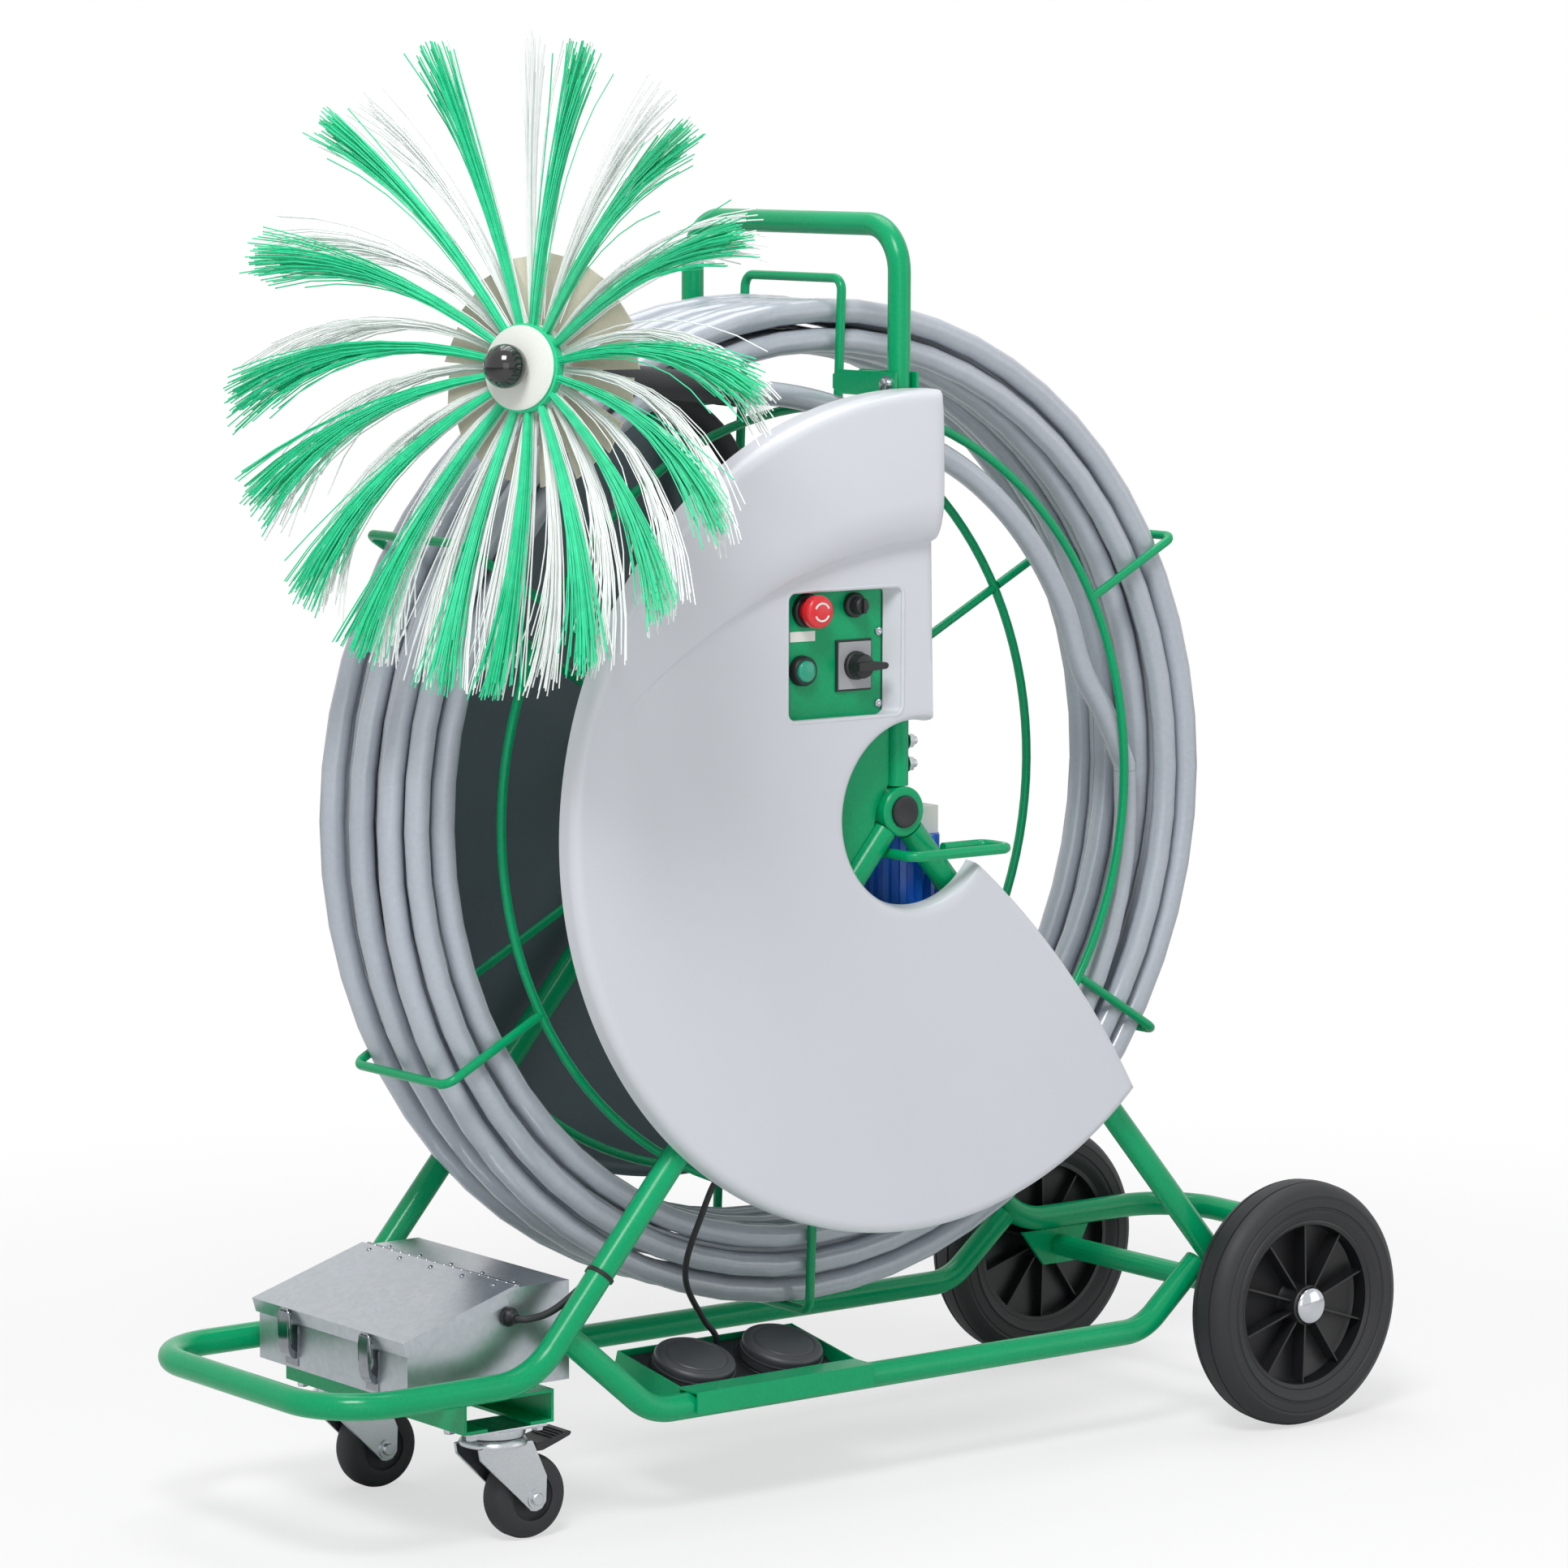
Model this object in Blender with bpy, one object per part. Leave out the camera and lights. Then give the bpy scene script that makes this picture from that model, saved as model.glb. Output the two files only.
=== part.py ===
"""Duct cleaning machine: a hose reel on a wheeled tube frame, with a rotary brush on the hose's end.

Metres, +Z up, +X to the rear (the large wheels), the operator's cover on the -Y side.
Points are written in machine coordinates: x = 0 at the reel's axle, y = 0 on the frame's middle plane,
z = 0 on the floor.
"""
import math

import bmesh
import bpy
import numpy as np
from mathutils import Matrix, Vector

# Fits and sheet sizes
GAP = 0.0003
SHEET = 0.002
PLATE = 0.004

# Frame tubes
TUBE_R = 0.0125
MAST_R = 0.011
HUB_Z = 0.652
MAST_Y = 0.163
RAIL_Y = 0.1515
RAIL_Z = 0.106
RAIL_FRONT_X = -0.2795
RAIL_REAR_X = 0.325
LEG_ANGLE = math.radians(49.5)
LEG_BEND = 0.080
RAIL_BEND = 0.060
LOOP_Z = 0.155
LOOP_REACH = 0.640
LOOP_CORNER = 0.070
HANDLE_Z = 1.206
HANDLE_CORNER = 0.045
BOSS_R = 0.024
BOSS_LENGTH = 0.024
PLUG_R = 0.0155

# Reel
SPINDLE_R = 0.015
SLEEVE_R = 0.024
SLEEVE_NEAR_Y = -0.145
SLEEVE_FAR_Y = 0.112
ROD_R = 0.0045
RING_R = 0.380
NEAR_RING_Y = -0.053
FAR_RING_Y = 0.100
RETAINER_R = 0.501
RETAINER_CORNER = 0.012
RETAINER_COUNT = 6
RETAINER_FIRST = math.radians(28)
REEL_STEPS = 36

# Hose
HOSE_R = 0.0117
HOSE_COLUMNS = 6
HOSE_COLUMN_GAP = 0.00052
HOSE_INNER_R = 0.424
HOSE_END_R = 0.3955
LOOP_POINTS = 24
COIL_START_DEG = 150
COIL_TURN_DEG = 990
COIL_COLUMN_DEG = 720
COIL_DIP_DEG = 45
COIL_END_DEG = 4680
COUPLING_R = 0.0125

# The free hose from the coil's end over the near ring: degrees, radius and y
FREE_HOSE = ((9, 0.372, -0.0375), (17, 0.350, -0.042), (30, 0.345, -0.052), (45, 0.345, -0.060),
             (60, 0.349, -0.066),
             (75, 0.357, -0.069), (89, 0.376, -0.069), (97, 0.392, -0.070), (104, 0.4075, -0.0715))

# Brush
BRUSH_CENTRE = (-0.430, -0.178, 1.082)
BRUSH_AXIS = (-0.942, -0.320, 0.101)
BRUSH_TIP_R = 0.300
BRUSH_CORE_R = 0.036
BRUSH_RING_R = 0.040
BRUSH_RING_WIDTH = 0.009
TUFTS = 16
TUFT_STRANDS = 5
TUFT_ROWS = 2
TUFT_SPREAD = math.radians(2.4)
TUFT_LEAN = math.radians(1.2)
RING_LEAN = math.radians(2.4)
STRAND_TAPER = 0.22
VANE_R = 0.105
VANE_PITCH = 0.004
VANE_BACK = 0.0065
BALL_R = 0.020
SHAFT_R = 0.009
SLEEVE_END_R = 0.0145
SLEEVE_BACK = 0.3313
SLEEVE_END_LENGTH = 0.235

# Rear wheels
WHEEL_R = 0.124
WHEEL_WIDTH = 0.050
WHEEL_Y = 0.205
RIM_R = 0.086
RIM_WALL = 0.005
RIM_SPOKES = 10
AXLE_X = 0.481
AXLE_TUBE_R = 0.0115
AXLE_R = 0.010
CAP_R = 0.016

# Front casters
CASTER_X = -0.440
CASTER_Y = 0.124
CASTER_TRAIL = 0.034
CASTER_R = 0.040
CASTER_WIDTH = 0.030
CASTER_HUB_R = 0.022
CASTER_PIN_R = 0.006
CASTER_PLATE_TOP = 0.1112
CASTER_PLATE_SIDE = 0.086
FORK_WALL = 0.003
CHANNEL_LENGTH = 0.100
CHANNEL_HALF_WIDTH = 0.150
BRAKE_X = 0.040

# Tool box
BOX_FRONT_X = -0.535
BOX_HINGE_X = -0.413
BOX_BACK_X = -0.355
BOX_HALF_WIDTH = 0.125
BOX_TOP_Z = 0.236
BOX_FRONT_TOP_Z = 0.198
LID_SKIRT = 0.012
LATCH_Y = 0.068

# Foot pedals
TRAY_CENTRE_X = -0.1325
TRAY_LENGTH = 0.210
TRAY_DEPTH = 0.105
TRAY_WALL = 0.012
TRAY_TILT = math.radians(18)
PEDAL_R = 0.040
PEDAL_PITCH = 0.105
PEDAL_BASE_H = 0.008
PEDAL_TRAVEL = 0.006

# Covers and controls
COVER_R = 0.401
COVER_BACK_Y = -0.1758
COVER_FACE_Y = -0.199
COVER_WALL = 0.003
COVER_BORE_R = 0.088
COVER_EDGE_X = 0.018
COVER_SHOULDER = 0.011
FAR_COVER_Y = 0.1758
PANEL_X = -0.0885
PANEL_Z = 0.157
PANEL_WIDTH = 0.108
PANEL_HEIGHT = 0.121
PANEL_DEPTH = 0.0152

# Motor under the reel sleeve, measured from the hub, and the lead of the tool box.
MOTOR_X = 0.051
MOTOR_Y = -0.105
MOTOR_R = 0.038
MOTOR_TOP = -0.031
MOTOR_BOTTOM = -0.095
MOTOR_FINS = 14
CABLE_R = 0.0035

# The frame's middle plane lies this far from the middle of the bounding box, which the brush widens
FRAME_SHIFT_Y = 0.115151

for old in list(bpy.data.objects):
    bpy.data.objects.remove(old, do_unlink=True)


def material(name, colour, roughness, metallic=0.0):
    """One Principled BSDF with a plain colour."""
    made = bpy.data.materials.new(name)
    made.use_nodes = True
    shader = made.node_tree.nodes["Principled BSDF"]
    shader.inputs["Base Color"].default_value = (*colour, 1.0)
    shader.inputs["Roughness"].default_value = roughness
    shader.inputs["Metallic"].default_value = metallic
    return made


GREEN = material("green_enamel", (0.0, 0.30, 0.10), 0.30)
GREY_SHELL = material("grey_moulding", (0.62, 0.64, 0.68), 0.35)
DARK_SHELL = material("dark_moulding", (0.10, 0.10, 0.11), 0.45)
HOSE_GREY = material("grey_hose", (0.42, 0.44, 0.48), 0.35)
BLACK = material("black_rubber", (0.015, 0.015, 0.017), 0.6)
BLACK_PLASTIC = material("black_plastic", (0.02, 0.02, 0.022), 0.35)
ZINC = material("zinc_plate", (0.70, 0.71, 0.72), 0.32, 1.0)
CHROME = material("chrome", (0.80, 0.80, 0.80), 0.10, 1.0)
NYLON = material("white_nylon", (0.80, 0.81, 0.78), 0.45)
CREAM = material("cream_vane", (0.66, 0.63, 0.52), 0.5)
BRISTLE_GREEN = material("green_bristle", (0.02, 0.55, 0.28), 0.45)
BRISTLE_WHITE = material("white_bristle", (0.82, 0.84, 0.84), 0.45)
BLUE = material("blue_enamel", (0.0, 0.10, 0.50), 0.35)
RED = material("red_plastic", (0.70, 0.02, 0.03), 0.3)
GREEN_LENS = material("green_button", (0.02, 0.30, 0.14), 0.3)
GREY_PLATE = material("grey_plate", (0.50, 0.50, 0.50), 0.4)


def empty(name, parent, at=(0, 0, 0), turn=None):
    """An empty that carries the pieces of one body."""
    made = bpy.data.objects.new(name, None)
    bpy.context.collection.objects.link(made)
    made.parent = parent
    made.location = at
    if turn is not None:
        made.rotation_mode = "QUATERNION"
        made.rotation_quaternion = turn
    return made


def place(name, data, finish, parent, at=(0, 0, 0), turn=(0, 0, 0)):
    """Links a mesh or curve as a named piece on its parent."""
    made = bpy.data.objects.new(name, data)
    bpy.context.collection.objects.link(made)
    data.materials.append(finish)
    made.parent = parent
    made.location = at
    made.rotation_euler = turn
    return made


def solid(name, mesh, finish, parent, at=(0, 0, 0), turn=(0, 0, 0)):
    """Turns a closed bmesh into a named piece with outward faces."""
    bmesh.ops.remove_doubles(mesh, verts=mesh.verts, dist=1e-6)
    bmesh.ops.recalc_face_normals(mesh, faces=mesh.faces)
    data = bpy.data.meshes.new(name)
    mesh.to_mesh(data)
    mesh.free()
    data.shade_smooth()
    data.set_sharp_from_angle(angle=math.radians(35))
    return place(name, data, finish, parent, at, turn)


def helper(made):
    """Marks a piece as a tool of the model that isn't part of it."""
    made.hide_render = True
    made.display_type = "WIRE"
    return made


def combine(target, tool, operation):
    """Adds or cuts a tool body with a Boolean modifier."""
    step = target.modifiers.new(operation.lower(), "BOOLEAN")
    step.operation = operation
    step.solver = "EXACT"
    step.object = helper(tool)
    return target


def rounded(points, radii, steps=4):
    """A path through the points with each inner corner turned into an arc of its own radius."""
    path = [Vector(points[0])]
    for before, corner, after, radius in zip(points, points[1:], points[2:], radii):
        before, corner, after = Vector(before), Vector(corner), Vector(after)
        towards, away = (before - corner).normalized(), (after - corner).normalized()
        half = towards.angle(away) / 2
        reach = radius / math.tan(half)
        centre = corner + (towards + away).normalized() * radius / math.sin(half)
        first, last = corner + towards * reach - centre, corner + away * reach - centre
        for index in range(steps + 1):
            path.append(centre + first.normalized().slerp(last.normalized(), index / steps) * radius)
    path.append(Vector(points[-1]))
    return path


def smooth(points, count):
    """Evenly spread points on a smooth curve through the route's points, its ends straight."""
    route = [Vector(p) for p in points]
    spans = [(two - one).length for one, two in zip(route, route[1:])]
    slopes = [(two - one) / span for one, two, span in zip(route, route[1:], spans)]
    tangents = [slopes[0]]
    for before, after, one, two in zip(spans, spans[1:], slopes, slopes[1:]):
        tangents.append((one * after + two * before) / (before + after))
    tangents.append(slopes[-1])
    marks = np.concatenate(([0.0], np.cumsum(spans)))
    path = []
    for along in np.linspace(0.0, marks[-1], count):
        span = min(int(np.searchsorted(marks, along, "right")) - 1, len(spans) - 1)
        size = spans[span]
        t = (along - marks[span]) / size
        path.append(route[span] * (1 + 2 * t) * (1 - t) ** 2 + route[span + 1] * t * t * (3 - 2 * t)
                    + tangents[span] * size * t * (1 - t) ** 2 + tangents[span + 1] * size * t * t * (t - 1))
    return path


def tube(name, path, radius, finish, parent, resolution=2):
    """A round tube with flat ends swept along a path, its section carried along without twist."""
    sides = 2 * resolution + 4
    points = [Vector(where) for where in path]
    ahead = [(two - one).normalized() for one, two in zip(points, points[1:])]
    tangents = [ahead[0], *((one + two).normalized() for one, two in zip(ahead, ahead[1:])), ahead[-1]]
    across = tangents[0].orthogonal().normalized()
    mesh = bmesh.new()
    rings = []
    for where, tangent in zip(points, tangents):
        across = (across - tangent * across.dot(tangent)).normalized()
        other = tangent.cross(across)
        angles = [2 * math.pi * index / sides for index in range(sides)]
        spokes = [across * math.cos(angle) + other * math.sin(angle) for angle in angles]
        rings.append([mesh.verts.new(where + spoke * radius) for spoke in spokes])
    for one, two in zip(rings, rings[1:]):
        for index in range(sides):
            after = (index + 1) % sides
            mesh.faces.new((one[index], one[after], two[after], two[index]))
    mesh.faces.new(reversed(rings[0]))
    mesh.faces.new(rings[-1])
    return solid(name, mesh, finish, parent)


def turned(profile, steps, axis="Y"):
    """A body of revolution from a closed (radius, height) profile."""
    mesh = bmesh.new()
    rings = []
    for radius, height in profile:
        count = steps if radius > 1e-7 else 1
        ring = []
        for index in range(count):
            angle = 2 * math.pi * index / steps
            across, up = radius * math.cos(angle), radius * math.sin(angle)
            where = {"X": (height, across, up), "Y": (across, height, up), "Z": (across, up, height)}[axis]
            ring.append(mesh.verts.new(where))
        rings.append(ring)
    for one, two in zip(rings, rings[1:] + rings[:1]):
        for index in range(steps):
            after = (index + 1) % steps
            corners = [one[index % len(one)], one[after % len(one)], two[after % len(two)],
                       two[index % len(two)]]
            corners = list(dict.fromkeys(corners))
            if len(corners) > 2:
                mesh.faces.new(corners)
    return mesh


def prism(outline, low, high, axis="Y"):
    """A flat outline drawn in the two other axes, pulled from low to high along one axis."""
    def at(one, two, depth):
        return {"X": (depth, one, two), "Y": (one, depth, two), "Z": (one, two, depth)}[axis]
    mesh = bmesh.new()
    base = mesh.faces.new([mesh.verts.new(at(one, two, low)) for one, two in outline])
    pulled = bmesh.ops.extrude_face_region(mesh, geom=[base])
    moved = [item for item in pulled["geom"] if isinstance(item, bmesh.types.BMVert)]
    bmesh.ops.translate(mesh, verts=moved, vec=Vector(at(0, 0, high)) - Vector(at(0, 0, low)))
    return mesh


def block(low, high):
    """A box between two corners."""
    mesh = bmesh.new()
    bmesh.ops.create_cube(mesh, size=1.0)
    size = Vector(high) - Vector(low)
    bmesh.ops.scale(mesh, vec=size, verts=mesh.verts)
    bmesh.ops.translate(mesh, vec=(Vector(high) + Vector(low)) / 2, verts=mesh.verts)
    return mesh


def polar(radius, angle, y, centre_z=0.0):
    """A point in the reel's plane at a radius and an angle from +X towards +Z."""
    return Vector((radius * math.cos(angle), y, centre_z + radius * math.sin(angle)))


def arc(radius, start, end, steps, centre=(0.0, 0.0)):
    """Outline points on an arc, angles in degrees."""
    angles = np.radians(np.linspace(start, end, steps + 1))
    return [(centre[0] + radius * math.cos(a), centre[1] + radius * math.sin(a)) for a in angles]


machine = empty("machine", None, (0, FRAME_SHIFT_Y, 0))
reel = empty("reel_axis", machine, (0, 0, HUB_Z))


def build_frame():
    """Two leg loops, two base rails, the handle mast and the hub bosses."""
    start = BOSS_R + GAP
    foot_x = (HUB_Z - LOOP_Z) / math.tan(LEG_ANGLE)
    for name, side in (("front_leg_loop", -1), ("rear_leg_loop", 1)):
        top = Vector((side * start * math.cos(LEG_ANGLE), 0, HUB_Z - start * math.sin(LEG_ANGLE)))
        near = [(top.x, -MAST_Y, top.z), (side * foot_x, -MAST_Y, LOOP_Z),
                (side * LOOP_REACH, -MAST_Y, LOOP_Z)]
        far = [(x, -y, z) for x, y, z in reversed(near)]
        tube(name, rounded(near + far, [LEG_BEND, LOOP_CORNER, LOOP_CORNER, LEG_BEND]), TUBE_R, GREEN,
             machine)
    along = Vector((math.sin(LEG_ANGLE), 0, math.cos(LEG_ANGLE)))
    for name, y in (("near_rail", -RAIL_Y), ("far_rail", RAIL_Y)):
        ends = []
        for x, side in ((RAIL_FRONT_X, -1), (RAIL_REAR_X, 1)):
            rise = Vector((side * along.x, 0, along.z))
            to_leg = (HUB_Z - RAIL_Z) * math.cos(LEG_ANGLE) - abs(x) * math.sin(LEG_ANGLE)
            ends.append(Vector((x, y, RAIL_Z)) + rise * (to_leg - TUBE_R - GAP))
        corners = [(RAIL_FRONT_X, y, RAIL_Z), (RAIL_REAR_X, y, RAIL_Z)]
        tube(name, rounded([ends[0], *corners, ends[1]], [RAIL_BEND] * 2), TUBE_R, GREEN, machine)
    foot = HUB_Z + start
    loop = [(0, -MAST_Y, foot), (0, -MAST_Y, HANDLE_Z), (0, MAST_Y, HANDLE_Z), (0, MAST_Y, foot)]
    tube("handle_mast", rounded(loop, [HANDLE_CORNER] * 2), MAST_R, GREEN, machine)
    half = BOSS_LENGTH / 2
    inner = SPINDLE_R + GAP
    ring = [(inner, -half), (BOSS_R, -half), (BOSS_R, half), (inner, half)]
    for name, y in (("near_hub_boss", -MAST_Y), ("far_hub_boss", MAST_Y)):
        solid(name, turned(ring, 20), GREEN, machine, (0, y, HUB_Z))
    reach = MAST_Y + half
    bar = [(0, -reach), (SPINDLE_R, -reach), (SPINDLE_R, reach), (0, reach)]
    solid("reel_spindle", turned(bar, 20), ZINC, machine, (0, 0, HUB_Z))
    plug = [(0, -0.003), (PLUG_R - 0.003, -0.003), (PLUG_R, -0.001), (PLUG_R, 0), (0, 0)]
    solid("near_hub_plug", turned(plug, 20), BLACK_PLASTIC, machine, (0, -reach - GAP, HUB_Z))


def build_reel():
    """The spider that turns on the spindle, the near ring and the retainers that carry it."""
    bore = SPINDLE_R + GAP
    flange = 0.034
    profile = [(bore, SLEEVE_NEAR_Y), (SLEEVE_R, SLEEVE_NEAR_Y), (SLEEVE_R, FAR_RING_Y - ROD_R),
               (flange, FAR_RING_Y - ROD_R), (flange, SLEEVE_FAR_Y), (bore, SLEEVE_FAR_Y)]
    spider = solid("reel_spider", turned(profile, 20), GREEN, reel)
    section = arc(ROD_R, 0, 300, 5, (RING_R, 0.0))
    far = solid("far_ring", turned([(r, FAR_RING_Y + y) for r, y in section], REEL_STEPS), GREEN, reel)
    combine(spider, far, "UNION")
    near = solid("near_ring", turned([(r, NEAR_RING_Y + y) for r, y in section], REEL_STEPS), GREEN, reel)
    inset = ROD_R + GAP
    for index in range(RETAINER_COUNT):
        angle = RETAINER_FIRST + 2 * math.pi * index / RETAINER_COUNT
        spoke = [polar(flange - ROD_R, angle, FAR_RING_Y), polar(RING_R, angle, FAR_RING_Y)]
        combine(spider, tube(f"spoke_{index}", spoke, ROD_R, GREEN, reel, 1), "UNION")
        hoop = [polar(RING_R, angle, NEAR_RING_Y), polar(RETAINER_R, angle, NEAR_RING_Y),
                polar(RETAINER_R, angle, FAR_RING_Y), polar(RING_R + inset, angle, FAR_RING_Y)]
        rod = tube(f"retainer_{index}", rounded(hoop, [RETAINER_CORNER] * 2, 2), ROD_R, GREEN, reel, 1)
        combine(near, rod, "UNION")


def hose_columns():
    """The y of each column of turns, far to near, packed between the retainers' legs."""
    near = NEAR_RING_Y + ROD_R + HOSE_COLUMN_GAP + HOSE_R
    pitch = 2 * HOSE_R + HOSE_COLUMN_GAP
    return [near + pitch * (HOSE_COLUMNS - 1 - index) for index in range(HOSE_COLUMNS)]


def coil_path():
    """Columns of turns that spiral out and in by turns, and step to the next column as they reverse."""
    columns = hose_columns()
    outer = RETAINER_R - ROD_R - 2 * GAP - HOSE_R
    turns = [COIL_TURN_DEG + COIL_COLUMN_DEG * index for index in range(HOSE_COLUMNS - 1)]
    knots = [COIL_START_DEG, *turns, COIL_END_DEG - COIL_DIP_DEG, COIL_END_DEG]
    radii = [HOSE_INNER_R if index % 2 == 0 else outer for index in range(HOSE_COLUMNS + 1)] + [HOSE_END_R]
    step = 360 // LOOP_POINTS
    path = []
    for degrees in range(COIL_START_DEG, COIL_END_DEG + 1, step):
        radius = float(np.interp(degrees, knots, radii))
        y = columns[0]
        for index, turn in enumerate(turns):
            t = min(max((degrees - turn) / 180 + 0.5, 0.0), 1.0)
            y += (columns[index + 1] - columns[index]) * t * t * (3 - 2 * t)
        path.append(polar(radius, math.radians(degrees), y))
    return path


def least_gap(path, radius, skip):
    """The least gap between stretches of a tube that lie more than skip points apart."""
    points = np.array([tuple(p) for p in path])
    apart = np.linalg.norm(points[:, None] - points[None], axis=2)
    index = np.arange(len(points))
    apart[np.abs(index[:, None] - index[None]) <= skip] = np.inf
    return apart.min() - 2 * radius


def build_hose():
    """The wound hose, the black hose from its inner end to the motor, and the free end with its sleeve."""
    path = coil_path()
    print("hose coil: least gap to itself %.2f mm" % (1000 * least_gap(path, HOSE_R, LOOP_POINTS // 2)))
    tube("hose_coil", path, HOSE_R, HOSE_GREY, reel, 1)
    back = (path[0] - path[1]).normalized()
    far_y = hose_columns()[0] - 0.0016
    first = polar(HOSE_INNER_R - 0.002, math.radians(COIL_START_DEG), far_y) + back * 2 * GAP
    route = [first + back * 0.006, polar(0.4188, math.radians(145), far_y),
             polar(0.413, math.radians(135), far_y - 0.001),
             polar(0.406, math.radians(120), far_y - 0.010), (-0.106, 0.057, 0.382), (-0.055, 0.057, 0.352),
             (-0.021, 0.057, 0.305), (-0.004, 0.055, 0.200), (0, 0.050, 0.090),
             (0, 0.050, SLEEVE_R + 0.012), (0, 0.050, SLEEVE_R + GAP)]
    tube("coupling_hose", [first, *smooth(route, 30)], COUPLING_R, BLACK, reel, 1)
    ahead = (path[-1] - path[-2]).normalized()
    start = path[-1] + ahead * GAP + Vector((0, 0, HUB_Z))
    route = [start + ahead * 0.006,
             *(polar(radius, math.radians(angle), y, HUB_Z) for angle, radius, y in FREE_HOSE)]
    towards = Vector(BRUSH_AXIS).normalized()
    end = Vector(BRUSH_CENTRE) - towards * SLEEVE_BACK
    tube("hose_free_end", [start, *smooth([*route, end - towards * 0.006], 40), end], HOSE_R, HOSE_GREY,
         machine, 1)


def build_motor():
    """A finned motor that stands on a bracket under the reel's sleeve and turns with it."""
    outline = []
    for index in range(MOTOR_FINS):
        for share, radius in ((0.0, MOTOR_R), (0.35, MOTOR_R), (0.45, MOTOR_R - 0.005),
                              (0.9, MOTOR_R - 0.005)):
            angle = 2 * math.pi * (index + share) / MOTOR_FINS
            outline.append((MOTOR_X + radius * math.cos(angle), MOTOR_Y + radius * math.sin(angle)))
    solid("motor", prism(outline, MOTOR_BOTTOM, MOTOR_TOP, "Z"), BLUE, reel)
    lid = block((0.030, MOTOR_Y - 0.022, MOTOR_TOP + GAP), (0.080, MOTOR_Y + 0.022, -0.004))
    solid("motor_terminal_box", lid, NYLON, reel)
    back = MOTOR_Y + MOTOR_R + GAP
    shelf_top = MOTOR_BOTTOM - GAP
    profile = [(MOTOR_Y - MOTOR_R, shelf_top - PLATE), (back + PLATE, shelf_top - PLATE),
               (back + PLATE, -SLEEVE_R - GAP), (back, -SLEEVE_R - GAP), (back, shelf_top),
               (MOTOR_Y - MOTOR_R, shelf_top)]
    solid("motor_bracket", prism(profile, -0.010, MOTOR_X + MOTOR_R, "X"), GREEN, reel)


def build_brush():
    """The rotary brush: core, two rings of tufts, a fan of vanes, the nose ball and the hose sleeve."""
    axis = Vector(BRUSH_AXIS).normalized()
    turn = axis.to_track_quat("Z", "Y")
    brush = empty("brush_axis", machine, BRUSH_CENTRE, turn)
    front = 2 * BRUSH_RING_WIDTH + 0.002
    back = -0.016
    shaft_end = -(SLEEVE_BACK - SLEEVE_END_LENGTH) + GAP
    core_r = BRUSH_CORE_R
    profile = [(0, shaft_end), (SHAFT_R, shaft_end), (SHAFT_R, back), (core_r, back), (core_r, front),
               (core_r + 0.002, front), (core_r + 0.002, front + 0.003), (0.016, front + 0.006),
               (0, front + 0.006)]
    solid("brush_core", turned(profile, 24, "Z"), NYLON, brush)
    ball = []
    for index in range(9):
        angle = -math.pi / 2 + 0.6 + (math.pi - 0.6) * index / 8
        ball.append((BALL_R * math.cos(angle), BALL_R * math.sin(angle)))
    nose_z = front + 0.006 + GAP + BALL_R * math.cos(0.6)
    solid("brush_nose", turned([(0, ball[0][1]), *ball[:-1], (0, BALL_R)], 20, "Z"), BLACK_PLASTIC, brush,
          (0, 0, nose_z))
    tuft_ring("brush_green_tufts", BRISTLE_GREEN, brush, 0.001 + BRUSH_RING_WIDTH, 0.0, RING_LEAN)
    tuft_ring("brush_white_tufts", BRISTLE_WHITE, brush, 0.0, 0.5, -RING_LEAN)
    vane_ring(brush)
    sleeve = [(0, 0), (SLEEVE_END_R, 0), (SLEEVE_END_R, SLEEVE_END_LENGTH - 0.006),
              (SLEEVE_END_R - 0.004, SLEEVE_END_LENGTH),
              (0, SLEEVE_END_LENGTH)]
    carrier = empty("sleeve_axis", machine, Vector(BRUSH_CENTRE) - axis * (SLEEVE_BACK - GAP), turn)
    solid("hose_end_sleeve", turned([(r, z) for r, z in sleeve], 16, "Z"), BLACK, carrier)


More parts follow.
